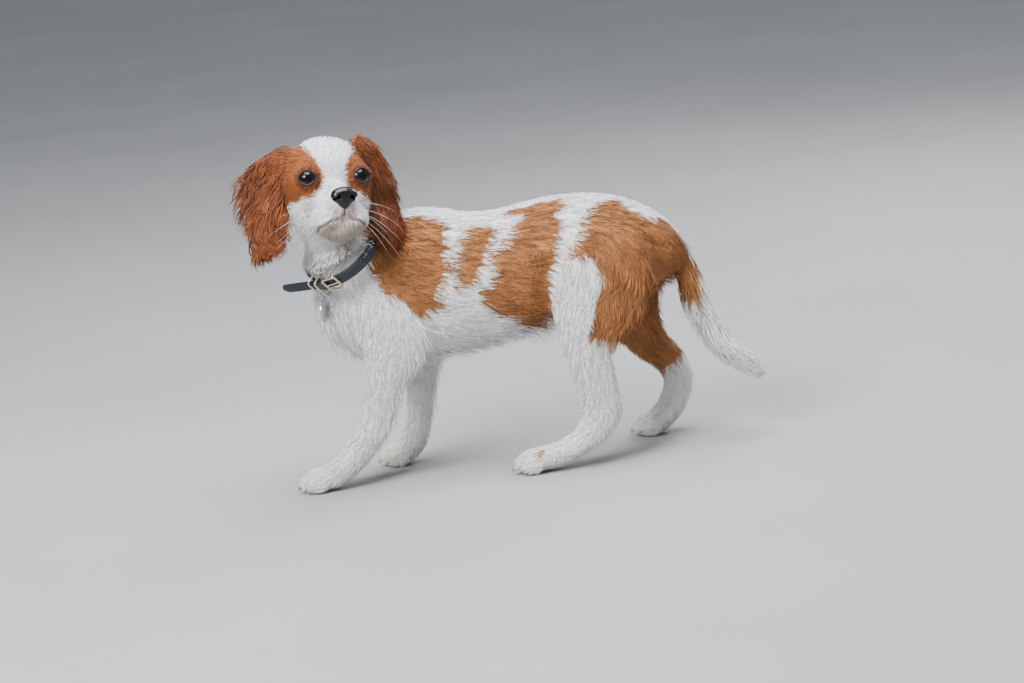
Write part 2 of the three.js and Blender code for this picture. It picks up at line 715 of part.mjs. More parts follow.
// Feathering on the legs lies down the leg and sweeps back.
const featherLie = (spot) => ({ lie: mix([spot.along, 1], [BACK, 0.35]), bend: mix([BACK, 0.1]) });
const TAIL_FIELD = {
  from: 0.6, to: 6.1, rows: 6, startAngle: 0, endAngle: 360, across: 4,
  size: { length: 24, width: 13, depth: 3, sink: 3, lift: 1.2 },
};
const tailLie = (spot) => ({ lie: spot.along.clone(), bend: mix([DOWN, 0.05]) });

// A body length joined with its locks, each lock first cut clear of what it would cross.
// The grown copies cut the neighbours clear in turn.
function coated(length, shape, locks, clearOf = []) {
  const build = (grow) => joined([
    solid(length.geometry(grow, ...shape)),
    ...locks.map((lock) => without(solid(lockGeometry(lock, grow)), clearOf)),
  ]);
  return { body: build(0), grown: build(GAP), bare: solid(length.geometry(GAP, ...shape)) };
}

// Grown copies of the plain pieces.
const TRUNK_SHAPE = [1, 16, 2];
const NECK_SHAPE = [2, 16];
const LEG_SHAPE = [1, 12];
const grownHead = solid(headGeometry(GAP));
const grownNeck = solid(neck.geometry(GAP, ...NECK_SHAPE));
const grownTrunk = solid(trunk.geometry(GAP, ...TRUNK_SHAPE));
const eyeBall = (frame, grow) => solid(
  new THREE.SphereGeometry(EYE.radius + grow, 13, 8).translate(...frame.centre.toArray()).applyMatrix4(headMatrix),
);

// Collar pieces: each is made plain, and grown to cut the coat clear.
const END_PATH = [50, 56, 62, 68];
const END_TAB = { length: 26, direction: vec(-0.93, 0.3, -0.08).normalize(), steps: 2 };
const LAYER = COLLAR.thickness / 2 + GAP + 1.1;
function collarEnd(grow) {
  const points = END_PATH.map((degrees) => collarPoint(degrees, LAYER));
  for (let i = 1; i <= END_TAB.steps; i += 1) {
    points.push(points[END_PATH.length - 1].clone().addScaledVector(END_TAB.direction, (END_TAB.length * i) / END_TAB.steps));
  }
  return strip(points, COLLAR.normal, COLLAR.height, 2.2, grow);
}
const KEEPER = { degrees: [56, 68], height: 19, depth: 11, wire: 0.9, outwards: 1.8, lower: 1.4 };
const BUCKLE = { degrees: 38, length: 14, height: 15, wire: 1.1 };
// Middle of a keeper frame and the direction that points out from the neck there.
function keeperPlace(index) {
  const degrees = KEEPER.degrees[index];
  const along = collarPoint(degrees + 2).sub(collarPoint(degrees - 2)).normalize();
  const facing = COLLAR.normal.clone().cross(along).normalize();
  const sign = Math.sign(facing.dot(collarPoint(degrees).sub(COLLAR.centre)));
  facing.multiplyScalar(sign);
  const centre = mix([collarPoint(degrees), 1], [facing, KEEPER.outwards], [COLLAR.normal, -KEEPER.lower]);
  return { centre, facing };
}
function keeper(index, grow) {
  const { centre, facing } = keeperPlace(index);
  return wireLoop(centre, facing, COLLAR.normal, KEEPER.depth, KEEPER.height, KEEPER.wire, grow);
}
function buckle(grow) {
  const { degrees, length, height, wire } = BUCKLE;
  const along = collarPoint(degrees + 2).sub(collarPoint(degrees - 2)).normalize();
  const centre = collarPoint(degrees, COLLAR.thickness / 2 + GAP + wire + 0.3);
  const prong = [-length / 2, 0, length / 2].map((shift) => mix([centre, 1], [along, shift]));
  const frame = wireLoop(centre, along, COLLAR.normal, length, height, wire, grow);
  return frame.add(solid(bar(prong, wire * 0.8 + grow)));
}
const keeperFoot = (() => {
  const { centre } = keeperPlace(1);
  return mix([centre, 1], [COLLAR.normal, -KEEPER.height / 2]);
})();
const RING = { radius: 6.3, wire: 0.7, drop: 4.2, ahead: 2.2, turn: 20 };
const TAG = { radius: 10, thickness: 1.4, hole: 1.7, rim: 2.7, turn: 72 };
const ringCentre = mix([keeperFoot, 1], [DOWN, RING.drop], [BACK, -RING.ahead]);
function splitRing(grow) {
  const ring = new THREE.TorusGeometry(RING.radius, RING.wire + grow, 5, 16);
  return solid(ring.rotateX(90 * RAD).rotateZ(-RING.turn * RAD).translate(...ringCentre.toArray()));
}
const tagCentre = mix([ringCentre, 1], [DOWN, RING.radius + TAG.radius - TAG.rim]);
function tagPlate(grow) {
  const outline = new THREE.Shape().absarc(0, 0, TAG.radius + grow, 0, 2 * Math.PI);
  const hole = new THREE.Path().absarc(0, TAG.radius - TAG.rim, TAG.hole - grow, 0, 2 * Math.PI);
  outline.holes.push(hole);
  const depth = TAG.thickness + 2 * grow;
  const plate = new THREE.ExtrudeGeometry(outline, { depth, bevelEnabled: false, curveSegments: 10 });
  plate.translate(0, 0, -depth / 2).rotateX(90 * RAD).rotateZ(TAG.turn * RAD);
  return solid(plate.translate(...tagCentre.toArray()));
}
const hardware = [
  ['collar_strap', (grow) => solid(strapGeometry(grow)), FINISH.leather],
  ['collar_end', collarEnd, FINISH.leather],
  ['collar_keeper_front', (grow) => keeper(1, grow), FINISH.steel],
  ['collar_keeper_rear', (grow) => keeper(0, grow), FINISH.steel],
  ['collar_buckle', buckle, FINISH.steel],
  ['collar_ring', splitRing, FINISH.steel],
  ['collar_tag', tagPlate, FINISH.steel],
];
hardware.forEach(([name, make, finish]) => place(name, make(0), COLLAR.centre, finish));
const grownHardware = hardware.map(([, make]) => make(GAP));

// Head: opened and lidded round the eyes, with the mouth line cut and the lower lip raised beneath it.
let head = solid(headGeometry(0));
for (const sign of [1, -1]) {
  const frame = eyeFrame(sign);
  head = head.subtract(solid(eyeOpening(frame))).add(solid(lidRing(frame)));
  head = head.subtract(eyeBall(frame, GAP));
  const name = sign > 0 ? 'eye_left' : 'eye_right';
  place(name, eyeBall(frame, 0), inHead(...frame.centre.toArray()), FINISH.eye);
}
head = head.add(solid(bar(mouthPath(MOUTH.lipDrop, 0.6), MOUTH.lip)));
head = without(head, [solid(noseGeometry(GAP)), solid(bar(mouthPath(0, 0), MOUTH.groove))]);
place('head', head, HEAD.eyeMid, FINISH.chestnut);

let nose = solid(noseGeometry(0));
for (const sign of [1, -1]) {
  const [f, l, u] = NOSE.at;
  const hole = [f + NOSTRIL.forward, l + sign * NOSTRIL.aside, u + NOSTRIL.down];
  const wing = [f + NOSTRIL.forward - 3, l + sign * NOSTRIL.wingAside, u - 1.2];
  nose = nose.subtract(solid(blob(hole, NOSTRIL.half, 1).applyMatrix4(headMatrix)));
  nose = nose.subtract(solid(blob(wing, NOSTRIL.wingHalf, 0).applyMatrix4(headMatrix)));
}
place('nose', nose, inHead(...NOSE.at), FINISH.nose);

// Ears lie against the head, neck and chest.
const ears = [['ear_right', earRight], ['ear_left', earLeft]].map(([name, length]) => {
  const { body, grown } = coated(length, [1, 10], lockField(length, EAR_FIELD, earLie));
  const cut = without(body, [grownHead, grownNeck, grownTrunk, ...grownHardware]);
  place(name, cut, length.frame(0).centre, FINISH.deepRed);
  return grown;
});

// Legs, each with feathering down its rear edge.
const legSpecs = [
  ['foreleg_left', forelegLeft, FORELEG_FIELD, PAW_FRONTS.foreLeft],
  ['foreleg_right', forelegRight, FORELEG_FIELD, PAW_FRONTS.foreRight],
  ['thigh_left', thighLeft, THIGH_FIELD],
  ['thigh_right', thighRight, THIGH_FIELD],
];
const legs = legSpecs.map(([name, length, field, front]) => {
  const leg = coated(length, LEG_SHAPE, lockField(length, field, featherLie), [grownTrunk]);
  const body = front ? joined([leg.body, ...pawPieces(front)]).subtract(belowFloor) : leg.body;
  place(name, body, length.frame(0).centre, FINISH.white);
  return leg;
});
const footSpecs = [
  ['hind_foot_left', hindFootLeft, PAW_FRONTS.hindLeft, legs[2]],
  ['hind_foot_right', hindFootRight, PAW_FRONTS.hindRight, legs[3]],
];
for (const [name, length, front, thigh] of footSpecs) {
  const foot = joined([solid(length.geometry(0, ...LEG_SHAPE)), ...pawPieces(front)]);
  place(name, without(foot, [thigh.grown, belowFloor]), length.frame(0).centre, FINISH.white);
}

// Tail plume.
const plume = coated(tail, [1, 10], lockField(tail, TAIL_FIELD, tailLie), [grownTrunk]);
place('tail', plume.body, tail.frame(0).centre, FINISH.white);

// Neck, sitting in the trunk between the shoulders.
const bareLegs = legs.map((leg) => leg.bare);
const neckBody = without(solid(neck.geometry(0, ...NECK_SHAPE)), [grownHead, ...bareLegs, ...grownHardware]);
place('neck', neckBody, neck.frame(1).centre, FINISH.white);

// Trunk with its chest ruff and belly fringe.
const fringe = [
  ...lockField(trunk, CHEST_FIELD, chestLie),
  ...lockField(trunk, BELLY_FIELD, bellyLie),
];
const torso = coated(trunk, TRUNK_SHAPE, fringe, [...legs.map((leg) => leg.grown), ...ears]);
place('torso', without(torso.body, [grownNeck, plume.bare, ...bareLegs, ...grownHardware]), vec(0, 0, 170), FINISH.white);

// Stand the model over its origin: the middle of its box, at floor level.
const box = new THREE.Box3().setFromObject(dog);
const middle = box.getCenter(vec(0, 0, 0));
dog.position.set(-middle.x, -middle.y, -box.min.z);

export default dog;
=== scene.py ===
import math

import bmesh
import bpy
import numpy as np
from mathutils import Matrix, Vector


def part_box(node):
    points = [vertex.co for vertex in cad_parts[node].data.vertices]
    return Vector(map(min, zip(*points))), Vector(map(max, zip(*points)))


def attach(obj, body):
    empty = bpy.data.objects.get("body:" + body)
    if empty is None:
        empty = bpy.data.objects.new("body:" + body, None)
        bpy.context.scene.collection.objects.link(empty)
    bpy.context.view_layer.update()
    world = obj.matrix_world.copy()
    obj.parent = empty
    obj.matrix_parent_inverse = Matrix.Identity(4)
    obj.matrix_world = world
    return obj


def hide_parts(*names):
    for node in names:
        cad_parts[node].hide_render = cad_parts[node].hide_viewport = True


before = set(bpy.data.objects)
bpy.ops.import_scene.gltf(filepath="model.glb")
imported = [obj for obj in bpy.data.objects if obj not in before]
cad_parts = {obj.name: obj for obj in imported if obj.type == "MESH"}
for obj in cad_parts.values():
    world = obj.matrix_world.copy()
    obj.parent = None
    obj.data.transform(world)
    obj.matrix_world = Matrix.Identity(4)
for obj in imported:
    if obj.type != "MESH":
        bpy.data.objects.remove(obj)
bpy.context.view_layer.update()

# A young spaniel that stands with its head turned. Sizes are in mm in the body's own frame: it faces -X, its
# left side is -Y, +Z is up and its soles stand on z = 0. Meshes are made in the row's frame, in metres.
MM = 0.001
FAR = 1e3
RNG = np.random.default_rng(7)

# Collar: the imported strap's box gives the shift from the body's frame to the row's frame.
COLLAR_CENTRE = np.array([-129.0, -28.0, 214.0])
strap_low, strap_high = (np.array(v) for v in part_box("collar_strap"))
SHIFT = (strap_low + strap_high) / 2 / MM - COLLAR_CENTRE
COLLAR_NORMAL = np.array([-0.53, -0.46, 0.71])
COLLAR_NORMAL /= np.linalg.norm(COLLAR_NORMAL)
COLLAR_SIDE = np.array([0, -1.0, 0]) + COLLAR_NORMAL * COLLAR_NORMAL[1]
COLLAR_SIDE /= np.linalg.norm(COLLAR_SIDE)
COLLAR_FRONT = np.cross(COLLAR_SIDE, COLLAR_NORMAL)
COLLAR_ACROSS, COLLAR_DEEP, STRAP_TALL, STRAP_THICK = 37.0, 40.0, 10.6, 2.4
NECK_REACH = 55

# Body lengths. Rows: x, y, z, half width to the side, depth above the spine and depth below it.
# "Above" is spine x side: the back of the trunk, the rear of a leg, the sole of a foot.
TRUNK = [(x, 0, wide, half, top - wide, wide - under) for x, top, wide, under, half in (
    (-140, 186, 156, 132, 25), (-128, 206, 157, 113, 39), (-108, 224, 160, 102, 47),
    (-84, 236, 162, 99, 50), (-58, 238.5, 162, 100, 50), (-30, 232, 162, 103, 51),
    (0, 230, 164, 109, 51), (30, 234, 170, 117, 48), (58, 237, 176, 122, 46),
    (84, 236, 180, 127, 48), (108, 229, 180, 133, 46), (128, 216, 176, 142, 38),
    (139, 203, 172, 150, 28))]
NECK = [(-92, -2, 184, 36, 41, 36), (-117, -18, 211, 36, 45, 39), (-129, -30, 230, 33, 40, 36),
        (-140, -41, 250, 29, 32, 30)]
FORELEG_LEFT = [(-90, -34, 164, 14, 25, 25), (-95, -37, 148, 16, 27, 28), (-95, -38, 124, 16, 28, 29),
                (-103, -37, 100, 14.5, 21, 24), (-111, -36, 80, 13, 17, 18), (-118, -35, 60, 12.5, 16, 16),
                (-129, -34, 42, 12.5, 14.5, 14.5), (-143, -33, 26, 13.5, 13.5, 13),
                (-160, -33, 13.5, 15.5, 13, 12), (-176, -33, 10, 16.5, 10, 11)]
FORELEG_RIGHT = [(-86, 34, 164, 14, 25, 25), (-82, 37, 148, 16, 26, 27), (-74, 38, 124, 16, 24, 25),
                 (-72, 37, 100, 14.5, 18, 19), (-76, 36, 80, 13, 14.5, 15.5), (-80, 35, 58, 12.5, 13.5, 14),
                 (-84, 34, 38, 12.5, 12.5, 13), (-90, 33, 22, 13.5, 13, 13), (-99, 33, 12, 15.5, 12, 11),
                 (-108, 33, 10, 16, 10, 10.5)]
HINDLEG_LEFT = [(94, -26, 194, 16, 32, 34), (92, -33, 172, 19, 42, 42), (84, -38, 150, 19, 44, 40),
                (76, -42, 128, 17, 34, 34), (70, -45, 106, 14.5, 23, 23), (74, -46, 86, 13, 19, 20),
                (77, -46, 68, 12.2, 18, 20), (79, -46, 49, 12, 17.5, 20), (70, -46, 34, 12, 16, 15),
                (56, -46, 22, 12.5, 12.5, 12), (38, -45.5, 14, 14, 12.5, 11.5), (22, -45, 11, 16, 11, 11.5),
                (13, -45, 10, 16, 10, 10.5)]
HINDLEG_RIGHT = [(98, 26, 194, 16, 34, 34), (100, 33, 172, 19, 44, 40), (102, 38, 150, 19, 46, 34),
                 (106, 42, 128, 17, 40, 27), (114, 45, 106, 14.5, 30, 21), (128, 47, 84, 13, 20, 17),
                 (144, 48, 68, 12, 16, 15), (152, 48, 52, 12, 14, 15), (151, 48, 38, 12, 13, 15),
                 (143, 48, 23, 12.5, 12.5, 14), (132, 48, 13, 15, 12.5, 12.5), (122, 48, 10, 16, 10, 10.5)]
TAIL = [(134, 0, 200, 13, 12, 12), (150, 1, 184, 13, 14, 13), (162, 3, 160, 13, 13, 13),
        (170, 4, 132, 12, 12, 12), (180, 5, 105, 12, 12, 12), (193, 5, 84, 12, 12, 12),
        (208, 5, 70, 10.5, 11, 10), (217, 5, 60, 7, 7, 7)]

# The head's own frame starts midway between the eyes: forward, to the dog's left, up.
EYE_MID = np.array([-128.6, -72.0, 280.7])
HEAD_YAW, HEAD_PITCH, HEAD_ROLL = (math.radians(a) for a in (-71.3, 11.1, -5.9))


def unit(v):
    v = np.asarray(v, float)
    return v / np.maximum(np.linalg.norm(v, axis=-1, keepdims=True), 1e-9)


def head_axes():
    forward = np.array([math.cos(HEAD_PITCH) * math.cos(HEAD_YAW), math.cos(HEAD_PITCH) * math.sin(HEAD_YAW),
                        math.sin(HEAD_PITCH)])
    level_left = unit(np.cross([0, 0, 1], forward))
    level_up = np.cross(forward, level_left)
    left = level_left * math.cos(HEAD_ROLL) + level_up * math.sin(HEAD_ROLL)
    return forward, left, np.cross(forward, left)


HEAD_AXES = np.array(head_axes())


def from_head(points):
    return np.asarray(points, float) @ HEAD_AXES + EYE_MID


def to_head(points):
    return (np.asarray(points, float) - EYE_MID) @ HEAD_AXES.T


# Eyes and lids in the head's frame: place, gaze, half angles of the opening and how far a lid stands out.
EYE_FORWARD, EYE_ASIDE, EYE_RADIUS = -7.5, 22.5, 10.0
EYE_GAZE_ASIDE, EYE_GAZE_UP = math.radians(12), math.radians(4)
LID_WIDE, LID_HIGH, LID_POINTED = math.radians(40), math.radians(34), 1.7
LID_OVER = 0.8

# Masses of the head: centre, half sizes, softness of the blend, and whether it has a twin on the other side.
HEAD_MASSES = [
    ((-33, 0, 5), (35, 35, 33), 1, False),
    ((-25, 16, -16), (20, 19, 22), 12, True),
    ((-34, 0, -32), (27, 26, 23), 16, False),
    ((8, 0, -25), (21, 17, 15), 9, False),
    ((6, 11.5, -36), (18, 14.5, 14.5), 7, True),
    ((2, 0, -10), (19, 8, 8), 8, False),
    ((3, 0, -45.5), (19, 14, 10), 6, False),
    ((-9, 17, 12), (8, 11, 7), 8, True),
    ((-6, 18, -15), (9, 10, 9), 9, True),
    ((-16, 23, -1), (14, 11.5, 13), 9, True),
    ((EYE_FORWARD, EYE_ASIDE, 0), (EYE_RADIUS + LID_OVER + 2,) * 3, 4, True),
]
NOSE_AT, NOSE_HALF = (26.5, 0, -17.5), (6.5, 11.5, 8.5)
MOUTH_TOP, MOUTH_DROP, MOUTH_SWEEP, MOUTH_CURVE = -34.0, 19.0, math.radians(86), 1.25
LIP_ASIDE, RAY_START = 2.2, -4

# Ear flaps in the head's frame, in rows like the body's, and the way that each one's outer side faces.
EAR_RIGHT_FACE, EAR_LEFT_FACE = (0.94, -0.3, 0.15), (0.8, 0.58, 0.15)
EAR_RIGHT = [(-32, -30, 23, 10, 6, 6), (-34, -45, 11, 17, 6.5, 6), (-36, -57, -6, 23, 6.5, 6),
             (-37, -64.5, -19, 29, 6.5, 6), (-37, -67, -30, 31, 6.5, 6), (-36, -67, -38, 30, 6, 5.5)]
EAR_LEFT = [(-31, 29, 33, 9, 6, 6), (-33, 38, 23, 16, 6.5, 6), (-34, 46, 5, 20, 6.5, 5.5),
            (-33, 49, -16, 20, 6, 5), (-28, 50, -36, 18, 5.5, 4.5), (-25, 49, -51, 13, 4.5, 4)]


def smooth_rows(rows, per_span):
    """Rows along a smooth curve through the given rows."""
    rows = np.asarray(rows, float)
    last = len(rows) - 1
    t = np.linspace(0, last, last * per_span + 1)
    i = np.minimum(t.astype(int), last - 1)
    f = (t - i)[:, None]
    a, b = rows[np.maximum(i - 1, 0)], rows[i]
    c, d = rows[i + 1], rows[np.minimum(i + 2, last)]
    start, end, rise = (c - a) / 2, (d - b) / 2, c - b
    return b + f * (start + f * (3 * rise - 2 * start - end + f * (start + end - 2 * rise)))


# Least half size of a body length under its coat.
THINNEST = 1.9


class Length:
    """An oval body length along a spine, with its distance field."""

    def __init__(self, name, rows, depth, blend, side=(0, 1, 0), straight=False, caps=(10, 8), per_span=3):
        rows = smooth_rows(rows, per_span)
        self.name, self.blend, self.caps, self.per_span = name, blend, caps, per_span
        self.centre = rows[:, :3]
        self.size = np.maximum(rows[:, 3:] - depth, THINNEST)
        step = np.gradient(self.centre, axis=0)
        self.along = np.tile([1.0, 0, 0], (len(rows), 1)) if straight else unit(step)
        side = np.asarray(side, float)
        self.across = unit(side - self.along * (self.along @ side)[:, None])
        self.over = np.cross(self.along, self.across)
        self.straight = straight
        reach = rows[:, 3:].max() + max(caps)
        self.low, self.high = self.centre.min(0) - reach, self.centre.max(0) + reach

    def near(self, points, margin):
        return np.all((points > self.low - margin) & (points < self.high + margin), axis=-1)

    def distance(self, points):
        """Distance, place along the spine and angle round it (0 is the side, 90 above)."""
        n = len(points)
        best, place, angle = np.full(n, FAR), np.zeros(n), np.zeros(n)
        last = len(self.centre) - 2
        for k in range(last + 1):
            a, b = self.centre[k], self.centre[k + 1]
            step = b - a
            ruler = np.array([step[0], 0, 0]) if self.straight else step
            h = np.clip((points - a) @ ruler / (ruler @ ruler), 0, 1)
            q = points - a - h[:, None] * step
            x = (q @ self.across[k]) * (1 - h) + (q @ self.across[k + 1]) * h
            y = (q @ self.over[k]) * (1 - h) + (q @ self.over[k + 1]) * h
            z = q @ unit(ruler)
            first, then = self.size[k], self.size[k + 1]
            side, above, below = (first[j] + (then[j] - first[j]) * h for j in range(3))
            tall = np.where(y >= 0, above, below)
            deep = np.where(z < 0, self.caps[0] if k == 0 else side, self.caps[1] if k == last else side)
            k0 = np.sqrt((x / side) ** 2 + (y / tall) ** 2 + (z / deep) ** 2)
            k1 = np.sqrt((x / side**2) ** 2 + (y / tall**2) ** 2 + (z / deep**2) ** 2)
            d = k0 * (k0 - 1) / np.maximum(k1, 1e-6)
            closer = d < best
            best[closer] = d[closer]
            place[closer] = (k + h)[closer] / self.per_span
            angle[closer] = np.degrees(np.arctan2(y / tall, x / side))[closer]
        return best, place, angle

    def spine(self, place):
        """Directions along the spine and across it at places along it."""
        at = np.clip(np.asarray(place) * self.per_span, 0, len(self.centre) - 1)
        i = np.minimum(at.astype(int), len(self.centre) - 2)
        f = (at - i)[:, None]
        return [unit(way[i] * (1 - f) + way[i + 1] * f) for way in (self.along, self.across)]


def ear_length(name, rows, face):
    points = from_head([r[:3] for r in rows])
    face, down = np.asarray(face) @ HEAD_AXES, -HEAD_AXES[2]
    side = np.cross(face, down)
    return Length(name, [(*p, *r[3:]) for p, r in zip(points, rows)], EAR_DEPTH, 3.0, side=side, caps=(4, 3))


# How deep the coat lies over the skin on each length.
TRUNK_DEPTH, NECK_DEPTH, LEG_DEPTH, TAIL_DEPTH, HEAD_DEPTH = 4.5, 5.0, 2.2, 4.0, 2.0
EAR_DEPTH = 3.4

LENGTHS = [
    Length("trunk", TRUNK, TRUNK_DEPTH, 1, straight=True, caps=(9, 9)),
    Length("neck", NECK, NECK_DEPTH, 14, caps=(10, 12)),
    Length("foreleg_left", FORELEG_LEFT, LEG_DEPTH, 13, caps=(12, 10)),
    Length("foreleg_right", FORELEG_RIGHT, LEG_DEPTH, 13, caps=(12, 10)),
    Length("hindleg_left", HINDLEG_LEFT, LEG_DEPTH, 15, caps=(12, 8)),
    Length("hindleg_right", HINDLEG_RIGHT, LEG_DEPTH, 15, caps=(12, 8)),
    Length("tail", TAIL, TAIL_DEPTH, 8, caps=(10, 5)),
    ear_length("ear_right", EAR_RIGHT, EAR_RIGHT_FACE),
    ear_length("ear_left", EAR_LEFT, EAR_LEFT_FACE),
]
# Toes: the front of each paw, and how far aside and back its four toes stand.
PAW_FRONTS = ((-180, -33), (-110, 33), (9, -45), (119, 48))
TOE_SPREAD = ((-12.0, 4.5), (-4.6, -2.0), (4.6, -2.0), (12.0, 4.5))
TOE_HALF, TOE_HEIGHT, TOE_DEPTH, TOE_BLEND = (10.5, 4.7, 7.6), 7.2, 1.2, 2.2
TOES = [np.array([x + back, y + aside, TOE_HEIGHT]) for x, y in PAW_FRONTS for aside, back in TOE_SPREAD]


def ellipsoid(points, at, half):
    q = points - at
    half = np.asarray(half, float)
    k0 = np.linalg.norm(q / half, axis=-1)
    k1 = np.linalg.norm(q / half**2, axis=-1)
    return k0 * (k0 - 1) / np.maximum(k1, 1e-6)


def soft_min(a, b, blend):
    h = np.maximum(blend - np.abs(a - b), 0) / blend
    return np.minimum(a, b) - h * h * blend / 4


def soft_max(a, b, blend):
    return -soft_min(-a, -b, blend)


def fold(local):
    """Points of the head with its right side laid on its left."""
    return local * (1, 0, 1) + np.abs(local) * (0, 1, 0)


def joined(local, masses):
    """Distance to masses that are blended into one, in the head's frame."""
    folded, total = fold(local), None
    for at, half, blend, paired in masses:
        d = ellipsoid(folded if paired else local, at, half)
        total = d if total is None else soft_min(total, d, blend)
    return total


def head_base(local):
    """Distance to the surface of the head's coat."""
    return joined(local, HEAD_MASSES)


def eye_axes(sign):
    """Centre, gaze, side and up of an eye, in the head's frame."""
    centre = np.array([EYE_FORWARD, sign * EYE_ASIDE, 0])
    yaw = sign * EYE_GAZE_ASIDE
    gaze = np.array([math.cos(EYE_GAZE_UP) * math.cos(yaw), math.cos(EYE_GAZE_UP) * math.sin(yaw),
                     math.sin(EYE_GAZE_UP)])
    side = unit(np.cross([0, 0, 1], gaze))
    return centre, gaze, side, np.cross(gaze, side)


def eye_way(sign, tilt, turn):
    """Direction from an eye's centre, tilted away from its gaze and turned round it."""
    _, gaze, side, up = eye_axes(sign)
    tilt = np.asarray(tilt, float)[..., None]
    return np.cos(tilt) * gaze + np.sin(tilt) * (side * math.cos(turn) + up * math.sin(turn))


def opening(turn):
    """Half angle of the eye's opening in a direction round it, a little pointed at the corners."""
    wide, high = np.abs(np.cos(turn)) / LID_WIDE, np.abs(np.sin(turn)) / LID_HIGH
    return (wide**LID_POINTED + high**LID_POINTED) ** (-1 / LID_POINTED)


def eye_polar(local, sign):
    """Distance from an eye's centre, distance outwards from the opening's edge, and that direction."""
    centre, gaze, side, up = eye_axes(sign)
    q = local - centre
    r = np.linalg.norm(q, axis=-1)
    g, s, u = q @ gaze, q @ side, q @ up
    away = (np.arctan2(np.hypot(s, u), g) - opening(np.arctan2(u, s))) * np.maximum(r, 1.0)
    return r, away, unit(q - g[:, None] * gaze)


def both_eyes(local):
    return [eye_polar(local, sign) for sign in (1, -1)]


SOCKET_WIDER, SOCKET_DEPTH, SOCKET_EDGE = 0.9, 2.0, 0.8


def eye_sockets(local, skin):
    """Open the skin in front of the eyeballs, a little wider than the lids."""
    for r, away, _ in both_eyes(local):
        skin = soft_max(skin, -np.maximum(away - SOCKET_WIDER, EYE_RADIUS - SOCKET_DEPTH - r), SOCKET_EDGE)
    return skin


def head_ray(start, direction, reach=60.0):
    """First point of the head's coat surface on each ray, in the head's frame."""
    low, high = np.zeros(len(start)), np.full(len(start), reach)
    steps = np.linspace(0, reach, 61)
    found = np.zeros(len(start), bool)
    for a in steps[1:]:
        outside = (head_base(start + direction * a) > 0) & ~found
        high[outside], low[outside] = a, a - steps[1]
        found |= outside
    for _ in range(20):
        middle = (low + high) / 2
        inside = head_base(start + direction * middle[:, None]) < 0
        low, high = np.where(inside, middle, low), np.where(inside, high, middle)
    return start + direction * high[:, None]


def mouth_line(lower, deeper):
    """The mouth's line, or one that runs lower than it, under the surface of the coat."""
    s = np.linspace(-1, 1, 41)
    u = MOUTH_TOP - MOUTH_DROP * np.abs(s) ** MOUTH_CURVE - lower
    direction = np.stack([np.cos(s * MOUTH_SWEEP), np.sin(s * MOUTH_SWEEP), 0 * s], 1)
    start = np.stack([0 * s + RAY_START, 0 * s, u], 1)
    return head_ray(start, direction) - direction * deeper


def line_distance(points, line):
    """Distance to a polyline."""
    best = np.full(len(points), FAR)
    for a, b in zip(line[:-1], line[1:]):
        ab = b - a
        h = np.clip((points - a) @ ab / (ab @ ab), 0, 1)
        best = np.minimum(best, np.linalg.norm(points - a - h[:, None] * ab, axis=-1))
    return best


MOUTH = mouth_line(0, HEAD_DEPTH)
philtrum_starts = np.array([(RAY_START, 0.0, u) for u in (-25, -28, -31, MOUTH_TOP)])
PHILTRUM = head_ray(philtrum_starts, np.tile([1.0, 0, 0], (4, 1))) - [HEAD_DEPTH, 0, 0]

# Lips and grooves of the face: line, radius and softness.
LIPS = ((mouth_line(LIP_ASIDE, HEAD_DEPTH + 0.4), 1.5, 2.0),
        (mouth_line(-LIP_ASIDE, HEAD_DEPTH + 0.2), 1.2, 2.4))
GROOVES = ((MOUTH, 0.65, 1.0), (PHILTRUM, 0.6, 1.2))
FACE_REAR = -22
HEAD_LOW, HEAD_HIGH, HEAD_BLEND = EYE_MID - 95, EYE_MID + 80, 9.0
FOOT_TOP, SOLE_HEIGHT = 24, 0.35


def head_distance(points, fine):
    local = to_head(points)
    skin = head_base(local) + HEAD_DEPTH
    if not fine:
        return skin
    near_face = (local[:, 0] > FACE_REAR) & (skin < 12) & (skin > -14)
    face = local[near_face]
    part = eye_sockets(face, skin[near_face])
    for line, radius, blend in LIPS:
        part = soft_min(part, line_distance(face, line) - radius, blend)
    for line, radius, blend in GROOVES:
        part = soft_max(part, radius - line_distance(face, line), blend)
    skin[near_face] = part
    return skin


def skin_distance(points, margin=18.0, fine=False):
    """Signed distance to the skin under the coat, with the eyes and the mouth where it is fine."""
    total = np.full(len(points), 60.0)
    for length in LENGTHS:
        near = length.near(points, margin)
        if near.any():
            total[near] = soft_min(total[near], length.distance(points[near])[0], length.blend)
    near = np.all((points > HEAD_LOW) & (points < HEAD_HIGH), axis=1)
    if near.any():
        total[near] = soft_min(total[near], head_distance(points[near], fine), HEAD_BLEND)
    low = points[:, 2] < FOOT_TOP
    if low.any():
        part, spots = total[low], points[low]
        for at in TOES:
            part = soft_min(part, ellipsoid(spots, at, np.array(TOE_HALF) - TOE_DEPTH), TOE_BLEND)
        total[low] = part
    return np.maximum(total, SOLE_HEIGHT - points[:, 2])


